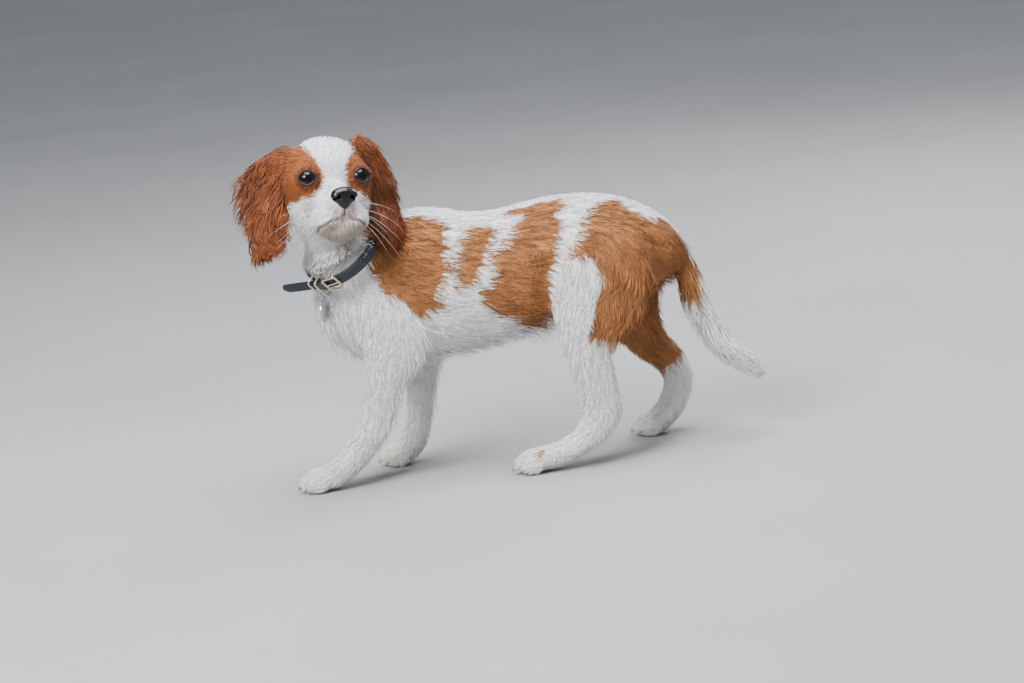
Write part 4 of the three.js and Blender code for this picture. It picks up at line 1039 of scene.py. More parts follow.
def coat_style(points, part, place, angle):
    """Length, width, lift, droop and wave of the coat at each point."""
    n = len(points)
    x, _, z = points.T
    length, lift = np.full(n, 10.0), np.full(n, 10.0)
    droop, wave = np.full(n, 0.10), np.full(n, 0.10)
    up = np.sin(np.radians(angle))
    local = to_head(points)

    trunk = is_part(part, "trunk")
    under = smooth(-0.72, -0.95, up[trunk])
    chest = smooth(-108, -136, x[trunk])
    fringe = under * smooth(-10, 20, x[trunk]) * smooth(66, 44, x[trunk])
    length[trunk] = (TRUNK_COAT + BELLY_MORE * under + FRINGE_MORE * fringe + CHEST_MORE * chest
                     + 2 * waves(points[trunk], 40, 11))
    droop[trunk] = 0.10 + 0.35 * under + 0.4 * fringe
    lift[trunk] = 9 + 5 * under
    wave[trunk] = 0.12 + 0.1 * chest

    neck = is_part(part, "neck")
    length[neck] = NECK_COAT + THROAT_MORE * smooth(-0.1, -0.8, up[neck])

    fore = is_part(part, "foreleg_left", "foreleg_right")
    rear = smooth(0.25, 0.9, up[fore])
    length[fore] = (FORELEG_COAT + FORELEG_FRINGE * rear * smooth(6.4, 4.2, place[fore])
                    + UPPER_LEG_MORE * smooth(2.5, 0.5, place[fore]))
    lift[fore] = 11 + 5 * rear

    hind = is_part(part, "hindleg_left", "hindleg_right")
    rear = smooth(0.25, 0.9, up[hind])
    length[hind] = (HINDLEG_COAT + HINDLEG_FRINGE * rear * smooth(6, 3, place[hind])
                    + UPPER_LEG_MORE * smooth(4, 1, place[hind]))
    lift[hind] = 10 + 4 * rear

    tail = is_part(part, "tail")
    length[tail] = TAIL_COAT + TAIL_MORE * np.sin(np.clip(place[tail] / 7, 0, 1) * math.pi)
    lift[tail], wave[tail] = 12, 0.14

    ears = is_part(part, "ear_left", "ear_right")
    length[ears] = (EAR_COAT + EAR_MORE * smooth(0.3, 2, place[ears])
                    - EAR_TIP_LESS * smooth(2.8, 5, place[ears]))
    lift[ears], wave[ears], droop[ears] = 8, 0.38, 0.4

    head = is_part(part, "head")
    f, _, u = local[head].T
    muzzle = smooth(-6, 8, f)
    length[head] = (HEAD_COAT + NAPE_MORE * smooth(-15, -45, f) + CROWN_MORE * smooth(12, 30, u)
                    + CHEEK_MORE * smooth(-20, -40, u) * smooth(5, -15, f))
    length[head] = length[head] * (1 - muzzle) + MUZZLE_COAT * muzzle
    lift[head] = 9 + 6 * smooth(0, -25, f)
    eye = np.minimum(*(np.linalg.norm(local[head] - eye_axes(sign)[0], axis=1) for sign in (1, -1)))
    length[head] = np.minimum(length[head], np.interp(eye, *EYE_COAT))

    hang = above_strap(points)
    rise, radius = strap_place(points)
    over = (rise > 0) & (radius < NECK_REACH) & ~ears
    room = np.maximum(rise[over] - STRAP_TALL / 2, 2) + STRAP_GAP + HANG_MORE * hang[over]
    length[over] = np.minimum(length[over], room)
    foot = smooth(26, 14, z) * (fore | hind)
    length = length * (1 - foot) + FOOT_COAT * foot
    width = np.clip(0.31 + 0.025 * length, 0.38, 0.95)
    width[head] *= HEAD_NARROWER
    return length, width * (1 - HANG_NARROWER * hang), lift + 6 * hang, droop, wave


def bare(points):
    """Places without tufts: eyes, nose, lips, soles and under the strap."""
    local = to_head(points)
    naked = points[:, 2] < 2.0
    for r, away, _ in both_eyes(local):
        naked |= (away < 1.0) & (r < EYE_RADIUS + 6)
    near = local[:, 0] > -20
    naked[near] |= (line_distance(local[near], MOUTH) < 1.3) | (line_distance(local[near], PHILTRUM) < 1.2)
    naked |= np.linalg.norm((local - NOSE_AT) / NOSE_HALF, axis=1) < 1.05
    rise, radius = strap_place(points)
    return naked | ((np.abs(rise - 0.3) < STRAP_TALL / 2 - 0.7) & (radius < COLLAR_ACROSS + 3))


def scatter(points, faces, density):
    """Roots spread over the faces, so that the number on each follows the density."""
    corners = [[f[0], f[1], f[2]] for f in faces] + [[f[0], f[2], f[3]] for f in faces if len(f) == 4]
    corners = np.array(corners)
    a, b, c = (points[corners[:, k]] for k in range(3))
    area = np.linalg.norm(np.cross(b - a, c - a), axis=1) / 2
    weight, cost = density((a + b + c) / 3)
    share = np.cumsum(area * weight * TRIANGLES / (area * weight * cost).sum())
    steps = np.arange(0.5, share[-1], 1.0) + RNG.uniform(-0.45, 0.45, int(share[-1] + 0.5))
    picks = np.clip(np.searchsorted(share, steps), 0, len(corners) - 1)
    r = np.sqrt(RNG.random(len(picks)))[:, None]
    t = RNG.random(len(picks))[:, None]
    return a[picks] * (1 - r) + b[picks] * r * (1 - t) + c[picks] * r * t


def locks(roots, size):
    """Number and middle of the lock that each tuft belongs to: neighbours share one."""
    bent = roots + size * 0.4 * np.stack([waves(roots, size * 2.3, seed) for seed in (31, 32, 33)], 1)
    cell = np.floor(bent / size).astype(int) @ CELL_NUMBERS
    index = np.unique(cell, return_inverse=True)[1].ravel()
    count = np.bincount(index)
    middle = np.stack([np.bincount(index, roots[:, k]) / count for k in range(3)], 1)
    return index, middle[index]


def spines(roots, flow, style, stations, index, middle):
    """Points along each tuft, kept over the skin, and the direction away from the skin at each of them.

    The tufts of a lock wave together and gather towards its middle.
    """
    length, _, lift, droop, wave = style
    out = FIELD.outward(roots)
    flow = unit(flow - out * (flow * out).sum(1, keepdims=True))
    side = np.cross(out, flow)
    spin = 0.26 * waves(roots, 22, 21) + 0.14 * waves(roots, 7, 22) + RNG.normal(0, 0.08, len(roots))
    flow = flow * np.cos(spin)[:, None] + side * np.sin(spin)[:, None]
    side = np.cross(out, flow)
    heading = unit(flow + out * np.tan(np.radians(lift))[:, None])
    count = index.max() + 1
    phase = RNG.uniform(0, 6.28, count)[index] + RNG.normal(0, 0.35, len(roots))
    turn = RNG.uniform(4.0, 6.5, count)[index] * np.clip(length / 22, 0.5, 1.4)
    aside = ((middle - roots) * side).sum(1) * GATHER / length
    step = (length / stations)[:, None]
    path, ups = [roots - out * SINK], [out]
    for k in range(1, stations + 1):
        s = k / stations
        sway = (wave * np.cos(phase + turn * s) + 1.5 * aside * math.sqrt(s))[:, None] * side
        point = path[-1] + unit(heading + sway - (0, 0, 1) * (droop * s)[:, None]) * step
        gap = FIELD.distance(point)
        out = FIELD.outward(point)
        low, high = 0.35 + 0.5 * s, 0.8 + 0.26 * length * np.sin(np.radians(lift) + 0.35) * (0.4 + s)
        push = np.clip(low - gap, 0, 4) - 0.6 * np.clip(gap - high, 0, 3) * (gap < 14)
        point = point + out * push[:, None]
        point[:, 2] = np.maximum(point[:, 2], 0.5)
        heading = unit(0.6 * heading + 0.4 * unit(point - path[-1]))
        path.append(point)
        ups.append(out)
    return np.stack(path, 1), np.stack(ups, 1)


def tuft_points(path, ups, width, stations):
    """Three points round each station of a tuft and one at its tip."""
    ahead = unit(np.gradient(path, axis=1))
    side = unit(np.cross(ups, ahead))
    rise = np.cross(ahead, side)
    roll = RNG.normal(0, 0.35, len(path))[:, None, None]
    side, rise = side * np.cos(roll) + rise * np.sin(roll), rise * np.cos(roll) - side * np.sin(roll)
    half = width[:, None, None] / 2 * np.array(TUFT_WIDTHS[stations])[None, :, None]
    body, side, rise = path[:, :-1], side[:, :-1], rise[:, :-1]
    rings = np.stack([body - side * half, body + side * half, body + rise * half * 0.6], 2)
    points = np.concatenate([rings.reshape(len(path), -1, 3), path[:, -1:]], 1)
    points[:, :, 2] = np.maximum(points[:, :, 2], 0.1)
    return points


def tuft_faces(stations):
    """Corners of one tuft's faces in a row, and the number of corners of each face."""
    faces = [[2, 1, 0]]
    for k in range(stations - 1):
        for j in range(3):
            a, b = 3 * k + j, 3 * k + (j + 1) % 3
            faces.append([a, b, b + 3, a + 3])
    last = 3 * (stations - 1)
    faces += [[last + j, last + (j + 1) % 3, last + 3] for j in range(3)]
    return np.concatenate(faces), np.array([len(f) for f in faces])


def add_uv(mesh, name, places):
    mesh.uv_layers.new(name=name).data.foreach_set("uv", places.astype(np.float32).ravel())


def grow(name, roots, flow, colour, style, stations, spots, lock_size, root_shade):
    """One mesh of tufts."""
    length, width = style[:2]
    n = len(roots)
    index, middle = locks(roots, lock_size)
    edge = np.linalg.norm(middle - roots, axis=1) / lock_size
    length = length * RNG.uniform(0.85, 1.12, index.max() + 1)[index]
    # Each lock has its own random tone, and tufts towards a lock's edge are darker: painted shade in the gaps
    # between locks.
    uneven = LOCK_TONE if root_shade > 0.6 else EAR_LOCK_TONE
    tone = RNG.normal(1, uneven, index.max() + 1)[index] * (1.06 - 0.25 * (1.4 - root_shade) * edge)
    path, ups = spines(roots, flow, (length, *style[1:]), stations, index, middle)
    points = tuft_points(path, ups, width, stations)
    per = points.shape[1]
    loops, sizes = tuft_faces(stations)
    corners = (loops[None, :] + per * np.arange(n)[:, None]).ravel()
    starts = np.cumsum(np.tile(sizes, n)) - np.tile(sizes, n)
    mesh = bpy.data.meshes.new(name)
    mesh.vertices.add(n * per)
    mesh.vertices.foreach_set("co", ((points.reshape(-1, 3) + SHIFT) * MM).astype(np.float32).ravel())
    mesh.loops.add(len(corners))
    mesh.loops.foreach_set("vertex_index", corners.astype(np.int32))
    mesh.polygons.add(len(starts))
    mesh.polygons.foreach_set("loop_start", starts.astype(np.int32))
    mesh.polygons.foreach_set("use_smooth", np.ones(len(starts), bool))
    mesh.update(calc_edges=True)
    along = np.append(np.repeat(np.arange(stations) / stations, 3), 1.0)
    across = np.append(np.tile([-1.0, 1.0, 0.0], stations), 0.2)
    low, high = np.percentile(spots, 1, axis=0), np.percentile(spots, 99, axis=0)
    spots = 0.02 + 0.955 * np.clip((spots - low) / (high - low), 0, 1)
    patch = np.stack([across + 0 * along, 2 * along - 1 + 0.4 * (across == 0)], 1) * BAKE_PATCH
    add_uv(mesh, "OFBake", (spots[:, None] + patch[None]).reshape(-1, 2)[corners])
    strand = [across[None] * width[:, None] / 2 + RNG.uniform(0, 90, (n, 1)),
              along[None] * length[:, None] + RNG.uniform(0, 90, (n, 1))]
    add_uv(mesh, "Strand", np.stack(strand, 2).reshape(-1, 2)[corners])
    # Painted shade: each tuft is darker towards its root, and a little lighter at its tip.
    shade = root_shade + (1 - root_shade) * smooth(0, 0.45, along) + (TIP_TONE - 1) * smooth(0.45, 1, along)
    vary = (tone + RNG.normal(0, 0.05, n))[:, None, None]
    paint(mesh, np.clip(colour[:, None] * shade[None, :, None] * vary, 0, 0.96).reshape(-1, 3))
    mesh.materials.append(COAT)
    return link(name, mesh)


# Coat pieces: body part, side of it (0 is both), stations of a tuft, how densely they cover, size of a lock.
PIECES = {
    "coat_trunk_left": ("trunk", -1, 3, 1.0, 6.0),
    "coat_trunk_right": ("trunk", 1, 3, 0.85, 6.0),
    "coat_neck": ("neck", 0, 4, 1.6, 6.0),
    "coat_head": ("head", 0, 3, 1.0, 3.6),
    "coat_ear_left": ("ear_left", 0, 6, 5.5, 6.5),
    "coat_ear_right": ("ear_right", 0, 6, 5.5, 6.5),
    "coat_foreleg_left": ("foreleg_left", 0, 3, 0.75, 4.5),
    "coat_foreleg_right": ("foreleg_right", 0, 3, 0.65, 4.5),
    "coat_hindleg_left": ("hindleg_left", 0, 3, 0.85, 5.0),
    "coat_hindleg_right": ("hindleg_right", 0, 3, 0.7, 5.0),
    "coat_tail": ("tail", 0, 6, 2.6, 6.5),
}


def tuft_triangles(stations):
    return 6 * stations - 2


def owned(points, part, name, side):
    """Points on a body part, or on one side of it."""
    return is_part(part, name) & ((side == 0) | (np.sign(points[:, 1]) == side))


def density(points):
    """Tufts for each area, and the triangles of one tuft."""
    part, place, angle, _ = survey(points)
    length, width, *_ = coat_style(points, part, place, angle)
    extra, cost = np.zeros(len(points)), np.ones(len(points))
    for name, side, stations, cover, _ in PIECES.values():
        own = owned(points, part, name, side)
        extra[own], cost[own] = cover, tuft_triangles(stations)
    for r, away, _ in both_eyes(to_head(points)):
        extra = extra * (1 + 1.2 * smooth(7, 3, away) * (r < EYE_RADIUS + 6))
    extra = extra * (1 + 0.8 * above_strap(points))
    return extra / (length * width) * (points[:, 2] > 1.0), cost


roots = scatter(skin_points, skin_faces, density)
roots = roots[~bare(roots)]
part, place, angle, flow = survey(roots)
style = coat_style(roots, part, place, angle)
jitter = roots + RNG.normal(0, 1.0, roots.shape)
colour = coat_colour(jitter, part, place, angle)
coats = []
for name, (own_part, side, stations, _, lock_size) in PIECES.items():
    own = np.flatnonzero(owned(roots, part, own_part, side))
    own = own[np.argsort(place[own])]
    chunks = max(1, math.ceil(len(own) * tuft_triangles(stations) / PIECE_TRIANGLES))
    root_shade = EAR_ROOT_SHADE if "ear" in name else ROOT_SHADE
    for k, chosen in enumerate(np.array_split(own, chunks)):
        shape = [v[chosen] for v in style]
        shape[0] = shape[0] * RNG.uniform(0.75, 1.2, len(chosen))
        spots = np.stack([angle[chosen] / 360 + 0.5, place[chosen]], 1)
        coats.append(grow(f"{name}_{k + 1}", roots[chosen], flow[chosen], colour[chosen], shape, stations,
                          spots, lock_size, root_shade))
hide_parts("head", "neck", "torso", "tail", "ear_left", "ear_right", "foreleg_left", "foreleg_right",
            "thigh_left", "thigh_right", "hind_foot_left", "hind_foot_right")
for piece in [skin] + coats:
    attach(piece, "root")
    if piece is not skin:
        name = piece.name[:-2]


def circle(count):
    return np.arange(count) * 2 * math.pi / count


def ring_faces(count, sides, closed=False, caps=True):
    """Faces between rings of points in a row, which is closed into a loop or may have a cap at each end."""
    faces = []
    for i in range(count if closed else count - 1):
        a, b = i * sides, (i + 1) % count * sides
        faces += [[a + j, a + (j + 1) % sides, b + (j + 1) % sides, b + j] for j in range(sides)]
    if caps and not closed:
        faces += [list(range(sides))[::-1], [(count - 1) * sides + j for j in range(sides)]]
    return faces


# Eyes: a globe with a bulging cornea, dark iris and pupil. Tones, and the tilts between which they change.
GLOBE_RINGS, GLOBE_TURNS, CORNEA = 28, 48, 0.55
PUPIL_TONE, IRIS_TONE, RIM_TONE = (0.0010, 0.0010, 0.0014), (0.012, 0.005, 0.003), (0.002, 0.0014, 0.0014)
EYE_WHITE, GLOBE_FRONT, GLOBE_REAR = (0.22, 0.19, 0.19), (0.002, 0.002, 0.004), (0.4, 0.3, 0.3)
EYE_BANDS = ((IRIS_TONE, 0.38, 0.44), (RIM_TONE, 0.56, 0.66), (EYE_WHITE, 0.80, 0.90))


def globe(name, sign):
    centre, gaze, _, _ = eye_axes(sign)
    turns = GLOBE_TURNS
    points, tones = [from_head(centre + gaze * (EYE_RADIUS + 0.5))], [GLOBE_FRONT]
    for tilt in np.linspace(0, math.pi, GLOBE_RINGS)[1:-1]:
        radius = EYE_RADIUS + CORNEA * smooth(0.75, 0.1, tilt)
        tone = PUPIL_TONE
        for band, start, end in EYE_BANDS:
            tone = mix(tone, band, smooth(start, end, tilt))
        points += [from_head(centre + eye_way(sign, tilt, a) * radius) for a in circle(turns)]
        tones += [tone] * turns
    points.append(from_head(centre - gaze * EYE_RADIUS))
    tones.append(GLOBE_REAR)
    faces = [[0, 1 + j, 1 + (j + 1) % turns] for j in range(turns)]
    for a, b, c, d in ring_faces(GLOBE_RINGS - 2, turns, caps=False):
        faces.append([1 + a, 1 + d, 1 + c, 1 + b])
    last = len(points) - 1
    faces += [[last - turns + (j + 1) % turns, last - turns + j, last] for j in range(turns)]
    piece = add_object(name, points, faces, EYE)
    paint(piece.data, np.array(tones))
    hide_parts("eye_left" if sign > 0 else "eye_right")
    return piece


def tube(points, radii, sides=8, closed=False):
    """Points and faces of a round tube along a path."""
    points = np.asarray(points, float)
    radii = np.broadcast_to(np.asarray(radii, float), (len(points),))
    around = np.roll(points, -1, 0) - np.roll(points, 1, 0)
    ahead = unit(around if closed else np.gradient(points, axis=0))
    side = unit(np.cross(ahead[0], [0.31, 0.52, 0.79]))
    rings, angles = [], circle(sides)[:, None]
    for p, d, r in zip(points, ahead, radii):
        side = unit(side - d * (side @ d))
        rings.append(p + r * (np.cos(angles) * side + np.sin(angles) * np.cross(d, side)))
    return np.concatenate(rings), ring_faces(len(points), sides, closed)


def gathered(parts):
    """Join several sets of points and faces into one."""
    points, faces, start = [], [], 0
    for p, f in parts:
        points.append(p)
        faces += [[i + start for i in face] for face in f]
        start += len(p)
    return np.concatenate(points), faces


eyes = [globe("eyeball_left", 1), globe("eyeball_right", -1)]


# Lids: each is one closed band swept round the opening. Profile rows: distance outwards from the
# opening's edge, height, and whether that height is over the skin instead of the eyeball.
LID_PROFILE = np.array([(1.6, -1.0, 0), (0.7, -0.4, 0), (0.1, 0.05, 0), (0.0, 0.35, 0), (0.12, 0.62, 0),
                        (0.35, 0.85, 0), (0.7, 0.98, 0), (1.1, 0.1, 1), (1.6, -0.05, 1), (2.3, -0.35, 1),
                        (3.2, -0.8, 1), (3.0, -1.8, 1)])
LID_TURNS, UPPER_HEAVIER = 96, 0.3
LID_EDGE_FROM, LID_EDGE_TO, LID_EDGE_THICK = math.radians(205), math.radians(335), 0.22


def lid(sign):
    centre = eye_axes(sign)[0]
    away, height, over_skin = LID_PROFILE.T
    steps = np.arange(4.0, 24.0, 0.2)
    points = []
    for a in circle(LID_TURNS):
        ways = eye_way(sign, opening(a) + away / (EYE_RADIUS + 1.0), a)
        ray = centre + ways[:, None] * steps[None, :, None]
        outside = head_distance(from_head(ray.reshape(-1, 3)), False).reshape(len(away), -1) > 0
        ground = steps[np.argmax(outside, axis=1)]
        heavy = 1 + UPPER_HEAVIER * max(math.sin(a), 0) * (height > 0) * (over_skin < 1)
        radius = np.where(over_skin > 0, ground, EYE_RADIUS) + height * heavy
        points.append(centre + ways * radius[:, None])
    faces = ring_faces(LID_TURNS, len(away), closed=True)
    faces = [(a, d, c, b) if sign > 0 else (b, c, d, a) for a, b, c, d in faces]
    return from_head(np.concatenate(points)), faces


lid_points, lid_faces = gathered([lid(1), lid(-1)])
lids = add_object("eyelids", lid_points, lid_faces, LID_SKIN)
paint(lids.data, coat_colour(lid_points, *survey(lid_points)[:3], on_lids=True))
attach(lids, "root")


# Wet edge of the lower lids.
def lid_edge(sign):
    ways = [eye_way(sign, opening(a) - 0.02, a) for a in np.linspace(LID_EDGE_FROM, LID_EDGE_TO, 25)]
    path = from_head(eye_axes(sign)[0] + np.array(ways) * (EYE_RADIUS + 0.15))
    return tube(path, LID_EDGE_THICK * np.sin(np.linspace(0.15, math.pi - 0.15, 25)) ** 0.5, 8)


lid_edges = add_object("lid_edges", *gathered([lid_edge(1), lid_edge(-1)]), EYE_LIP)


# Nose: a broad pad with comma-shaped nostrils and a groove down the middle, in rows like the head's masses.
NOSE_MASSES = [
    ((25.8, 0, -16.0), (6.8, 10.4, 6.4), 1, False),
    ((24.8, 0, -22.2), (6.4, 6.0, 6.0), 3.5, False),
    ((26.8, 6.8, -17.6), (5.4, 4.6, 5.0), 2.4, True),
]
NOSTRILS = [((32.4, 5.4, -18.6), (4.4, 1.9, 1.5), 1.1), ((29.6, 9.2, -20.0), (4.8, 3.6, 0.8), 0.9)]
NOSE_GROOVE = np.array([(34.0, 0, -17.0), (33.2, 0, -21.0), (31.0, 0, -29.0)])
NOSE_LOW, NOSE_CELLS, NOSE_STEP = np.array([16.0, -15.0, -32.0]), (42, 60, 50), 0.5


def nose_distance(local):
    d = joined(local, NOSE_MASSES)
    for at, half, blend in NOSTRILS:
        d = soft_max(d, -ellipsoid(fold(local), at, half), blend)
    return soft_max(d, 0.5 - line_distance(local, NOSE_GROOVE), 1.4)


nose_grid = grid_points(NOSE_LOW, NOSE_CELLS, NOSE_STEP)
nose_values = nose_distance(nose_grid.reshape(-1, 3)).reshape(NOSE_CELLS)
nose_points, nose_faces = surface_nets(nose_values, NOSE_LOW, NOSE_STEP)
nose = add_object("nose_pad", from_head(settle(nose_points, nose_distance, 2, 0.1)), nose_faces, NOSE)
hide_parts("nose")


# Claws and whiskers.
def claw(at):
    x, y, _ = at
    steps = np.linspace(0, 1, 7)
    path = np.stack([x - 6.5 - 6.2 * steps, np.full(7, y), 6.6 - 1.2 * steps - 2.6 * steps**2], 1)
    return tube(path, 1.5 * (1 - steps) ** 0.7 + 0.12, 8)


claws = add_object("claws", *gathered([claw(at) for at in TOES]), HORN)

# Rows: root in the head's frame, length, and how far forwards and upwards each one points.
WHISKERS = [(12, 20, -24, 34, 0.12, 0.12), (9, 21, -28, 42, -0.05, -0.10), (12, 21, -31, 40, 0.10, -0.35),
            (7, 21, -34, 46, -0.10, -0.55), (12, 20, -36, 34, 0.15, -0.8), (5, 20, -30, 38, -0.25, -0.3)]

WHISKER_BEND, WHISKER_RADIUS = np.array([-0.25, 0, -0.34]), 0.17


def whisker(f, l, u, length, forward, rise, sign):
    s = np.linspace(0, 1, 9)[:, None]
    way = unit([forward, 1.0, rise])
    path = np.array([f - 3, l - 4, u]) + way * s * length + WHISKER_BEND * s**2 * length
    return tube(from_head(path * (1, sign, 1)), WHISKER_RADIUS * (1 - 0.8 * s[:, 0]), 5)


whiskers = add_object("whiskers", *gathered([whisker(*w, sign) for w in WHISKERS for sign in (1, -1)]), HAIR)

# Collar: places round the strap are in degrees from its left towards its front.
END_THICK, END_LENGTH, END_WAY = 2.2, 26.0, unit([-0.93, 0.3, -0.08])
END_GAP = STRAP_THICK / 2 + 0.3 + END_THICK / 2
STITCH_PITCH, STITCH_INSET, THREAD_RADIUS = 2.1, 1.3, 0.24
KEEPER_DEPTH, KEEPER_HEIGHT = 11.0, 19.0
KEEPERS = (("collar_keeper_rear", 56, BRASS), ("collar_keeper_front", 68, STEEL))
BUCKLE_AT, BUCKLE_LONG, BUCKLE_TALL = 38, 14, 15
RING_RADIUS, RING_TURN, RING_LIFT, RING_DROP = 6.3, math.radians(20), 0.33, np.array([2.2, 0, 4.2])
TAG_TURN, TAG_RADIUS, TAG_THICK, TAG_HOLE, TAG_RIM, TAG_OVERLAP = math.radians(72), 10.0, 1.4, 1.7, 2.7, 2.7


def collar_point(degrees, extra=0.0):
    a = math.radians(degrees)
    return (COLLAR_CENTRE + COLLAR_SIDE * math.cos(a) * (COLLAR_ACROSS + extra)
            + COLLAR_FRONT * math.sin(a) * (COLLAR_DEEP + extra))


def collar_run(places):
    """Points on the strap's middle and the directions outwards there."""
    path = [collar_point(a) for a in places]
    return np.array(path), np.array([unit(collar_point(a, 1) - p) for a, p in zip(places, path)])


def rounded(half_wide, half_tall, corner, steps):
    """Outline of an oblong with round corners."""
    outline = []
    for a, b, start in ((1, 1, 0), (-1, 1, 90), (-1, -1, 180), (1, -1, 270)):
        for k in range(steps + 1):
            turn = math.radians(start + 90 * k / steps)
            outline.append((a * (half_wide - corner) + corner * math.cos(turn),
                            b * (half_tall - corner) + corner * math.sin(turn)))
    return np.array(outline)


def strap_section(half_thick):
    """Rounded oblong, crowned a little on its outer face."""
    crown = [(half_thick + 0.35, side * STRAP_TALL / 2 * 0.4) for side in (-1, 1)]
    return np.concatenate([rounded(half_thick, STRAP_TALL / 2, 0.8, 3), crown])


def sweep(path, outs, section, tall, closed=False):
    """Section swept along a path; its first direction follows outs, its second the collar's normal."""
    aside, up = section[:, :1], section[:, 1:]
    rings = [p + aside * o + up * t * COLLAR_NORMAL for p, o, t in zip(path, outs, tall)]
    return np.concatenate(rings), ring_faces(len(path), len(section), closed)


strap_turns = np.arange(0, 360, 3.0)
strap_mesh = sweep(*collar_run(strap_turns), strap_section(STRAP_THICK / 2), np.ones(len(strap_turns)), True)
strap = add_object("strap", *strap_mesh, LEATHER)
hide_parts("collar_strap")

bend = collar_point(68, END_GAP)
straight = np.linspace(0.5, END_LENGTH + STRAP_TALL * 0.46, 22)
end_path = [collar_point(a, END_GAP) for a in np.linspace(50, 66, 9)]
end_path = np.array(end_path + [bend + END_WAY * t for t in straight])
end_out = unit(np.cross(unit(np.gradient(end_path, axis=0)), COLLAR_NORMAL))
left = np.linalg.norm(end_path - end_path[-1], axis=1)
end_tall = np.sqrt(np.clip(1 - np.clip(1 - left / (STRAP_TALL * 0.5), 0, 1) ** 2, 0.02, 1))
end_mesh = sweep(end_path, end_out, strap_section(END_THICK / 2), end_tall)
end_strap = add_object("strap_end", *end_mesh, LEATHER)
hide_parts("collar_end")


def stitches(path, outs, offset, lift):
    """Short raised threads in a row along a path."""
    gaps = np.concatenate([[0], np.cumsum(np.linalg.norm(np.diff(path, axis=0), axis=1))])
    parts = []
    for at in np.arange(1.2, gaps[-1] - 2.4, STITCH_PITCH):
        ends = []
        for t in (at, at + STITCH_PITCH * 0.62):
            p, o = (np.array([np.interp(t, gaps, row) for row in rows.T]) for rows in (path, outs))
            ends.append((p + COLLAR_NORMAL * offset, unit(o)))
        (a, oa), (b, ob) = ends
        line = [a + oa * (lift - 0.35), a + oa * (lift + 0.12), (a + b) / 2 + (oa + ob) / 2 * (lift + 0.24),
                b + ob * (lift + 0.12), b + ob * (lift - 0.35)]
        parts.append(tube(line, THREAD_RADIUS, 5))
    return parts


strap_path, strap_out = collar_run(np.arange(-140, 48, 3.0))
rows = []
for offset in (-STRAP_TALL / 2 + STITCH_INSET, STRAP_TALL / 2 - STITCH_INSET):
    rows += stitches(strap_path, strap_out, offset, STRAP_THICK / 2)
    rows += stitches(end_path[:-4], end_out[:-4], offset, END_THICK / 2)
    rows += stitches(end_path[:-4], -end_out[:-4], offset, END_THICK / 2)
thread = add_object("stitching", *gathered(rows), THREAD)


def keeper_place(degrees):
    along = unit(collar_point(degrees + 2) - collar_point(degrees - 2))
    facing = np.cross(COLLAR_NORMAL, along)
    facing = facing * np.sign(facing @ (collar_point(degrees) - COLLAR_CENTRE))
    return collar_point(degrees) + facing * 1.8 - COLLAR_NORMAL * 1.4, facing


def wire_loop(centre, first, length, height, radius):
    """Round wire bent to an oblong: its length along a direction, its height along the collar's normal."""
    path = centre + rounded(length / 2, height / 2, 2.2, 5) @ np.array([first, COLLAR_NORMAL])
    return tube(path, radius, 10, True)


keepers = []
for node, degrees, finish in KEEPERS:
    frame_mesh = wire_loop(*keeper_place(degrees), KEEPER_DEPTH, KEEPER_HEIGHT, 0.9)
    keepers.append(add_object(node.replace("collar_", "") + "_frame", *frame_mesh, finish))
    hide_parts(node)
along = unit(collar_point(BUCKLE_AT + 2) - collar_point(BUCKLE_AT - 2))
buckle_centre = collar_point(BUCKLE_AT, STRAP_THICK / 2 + 1.7)
buckle_frame = wire_loop(buckle_centre, along, BUCKLE_LONG, BUCKLE_TALL, 1.1)
prong = tube([buckle_centre + along * t for t in np.linspace(-7, 7.4, 8)], 0.85, 8)
buckle = add_object("buckle_frame", *gathered([buckle_frame, prong]), BRASS)
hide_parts("collar_buckle")

# Split ring: two turns of wire side by side.
ring_centre = keeper_place(KEEPERS[1][1])[0] - COLLAR_NORMAL * KEEPER_HEIGHT / 2 - RING_DROP
ring_across = np.array([math.cos(RING_TURN), -math.sin(RING_TURN), 0])
ring_axis = np.array([math.sin(RING_TURN), math.cos(RING_TURN), 0])
ring_path = []
for lift in (RING_LIFT, -RING_LIFT):
    for a in circle(48):
        round_it = ring_across * math.cos(a) + np.array([0, 0, math.sin(a)])
        ring_path.append(ring_centre + RING_RADIUS * round_it + lift * ring_axis)
ring = add_object("split_ring", *tube(ring_path, 0.36, 8), STEEL)
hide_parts("collar_ring")


def tag_disc(centre):
    """Round plate with soft edges and a hole near its top."""
    plate = bmesh.new()
    outline = [(TAG_RADIUS * math.cos(a), TAG_RADIUS * math.sin(a)) for a in circle(64)]
    top = TAG_RADIUS - TAG_RIM
    hole = [(TAG_HOLE * math.cos(a), top + TAG_HOLE * math.sin(a)) for a in circle(20)]
    edges = []
    for loop in (outline, hole):
        verts = [plate.verts.new((x, z, 0)) for x, z in loop]
        edges += [plate.edges.new((verts[k], verts[(k + 1) % len(verts)])) for k in range(len(verts))]
    bmesh.ops.triangle_fill(plate, edges=edges, use_beauty=True)
    solid = bmesh.ops.extrude_face_region(plate, geom=list(plate.faces))
    for v in [g for g in solid["geom"] if isinstance(g, bmesh.types.BMVert)]:
        v.co.z = TAG_THICK
    bmesh.ops.recalc_face_normals(plate, faces=list(plate.faces))
    rims = [e for e in plate.edges if e.calc_face_angle(0) > 1.0]
    bmesh.ops.bevel(plate, geom=rims, offset=0.35, segments=3, affect="EDGES", clamp_overlap=True)
    plate.verts.index_update()
    local = np.array([v.co[:] for v in plate.verts]) - (0, 0, TAG_THICK / 2)
    faces = [[v.index for v in f.verts] for f in plate.faces]
    plate.free()
    flat, out = [math.cos(TAG_TURN), math.sin(TAG_TURN), 0], [math.sin(TAG_TURN), -math.cos(TAG_TURN), 0]
    return centre + local @ np.array([flat, [0, 0, 1], out]), faces


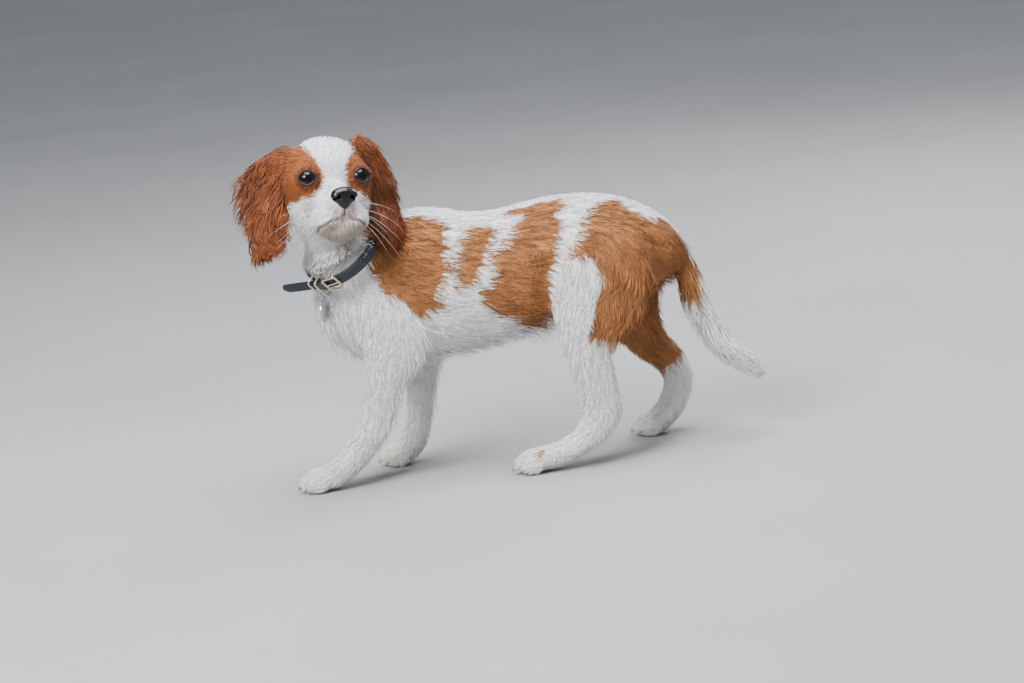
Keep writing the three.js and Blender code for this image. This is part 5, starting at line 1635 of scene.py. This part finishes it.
tag_centre = ring_centre - np.array([0, 0, RING_RADIUS + TAG_RADIUS - TAG_OVERLAP])
tag = add_object("tag_plate", *tag_disc(tag_centre), STEEL, False)
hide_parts("collar_tag")

hardware = [strap, end_strap, thread, buckle, ring, tag]
for piece in eyes + hardware + [nose, claws, whiskers, lid_edges] + keepers:
    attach(piece, "root")

# Camera at the photograph's place: level aim dropped by 12 degrees and rolled by 6.
CAMERA_AT = np.array([6.32, -2551.69, 650.54])
DROP, ROLL, FOCAL, SENSOR = math.radians(12), math.radians(6), 103.87, 36
view = np.array([0, math.cos(DROP), -math.sin(DROP)])
level_right, level_up = np.array([1.0, 0, 0]), np.array([0, math.sin(DROP), math.cos(DROP)])
right = math.cos(ROLL) * level_right - math.sin(ROLL) * level_up
camera_up = math.sin(ROLL) * level_right + math.cos(ROLL) * level_up
camera = link("camera", bpy.data.cameras.new("camera"))
camera.data.lens, camera.data.sensor_width = FOCAL, SENSOR
turned = np.stack([right, camera_up, -view, (CAMERA_AT + SHIFT) * MM], 1)
camera.matrix_world = Matrix([*turned.tolist(), [0, 0, 0, 1]])
bpy.context.scene.camera = camera


def lamp(name, at, size, power, tint, aim=(0, 0, 0.16)):
    data = bpy.data.lights.new(name, "AREA")
    data.shape, data.size, data.energy, data.color = "DISK", size, power, tint
    item = link(name, data)
    item.location = at
    item.rotation_euler = (Vector(aim) - Vector(at)).to_track_quat("-Z", "Y").to_euler()
lamp("key", (-0.9, -1.2, 1.4), 0.9, 68, (1.0, 0.98, 0.95))
lamp("sky", (0.1, -0.1, 2.0), 1.6, 84, (0.92, 0.95, 1.0))
lamp("rim", (0.9, 1.3, 1.1), 0.7, 20, (0.92, 0.96, 1.0))
SKY_TONE, SKY_STRENGTH = (0.80, 0.86, 0.95, 1), 0.6
world = bpy.data.worlds.new("studio")
world.use_nodes = True
sky = world.node_tree.nodes["Background"].inputs
sky[0].default_value, sky[1].default_value = SKY_TONE, SKY_STRENGTH
bpy.context.scene.world = world

floor_finish = plain_finish("floor", *FLOOR_TONES, 3, 0.85)
FLOOR_HALF = 6000
square = ((-1, -1), (1, -1), (1, 1), (-1, 1))
floor_points = [(a * FLOOR_HALF - SHIFT[0], b * FLOOR_HALF - SHIFT[1], -0.2) for a, b in square]
floor = add_object("floor", floor_points, [[0, 1, 2, 3]], floor_finish)
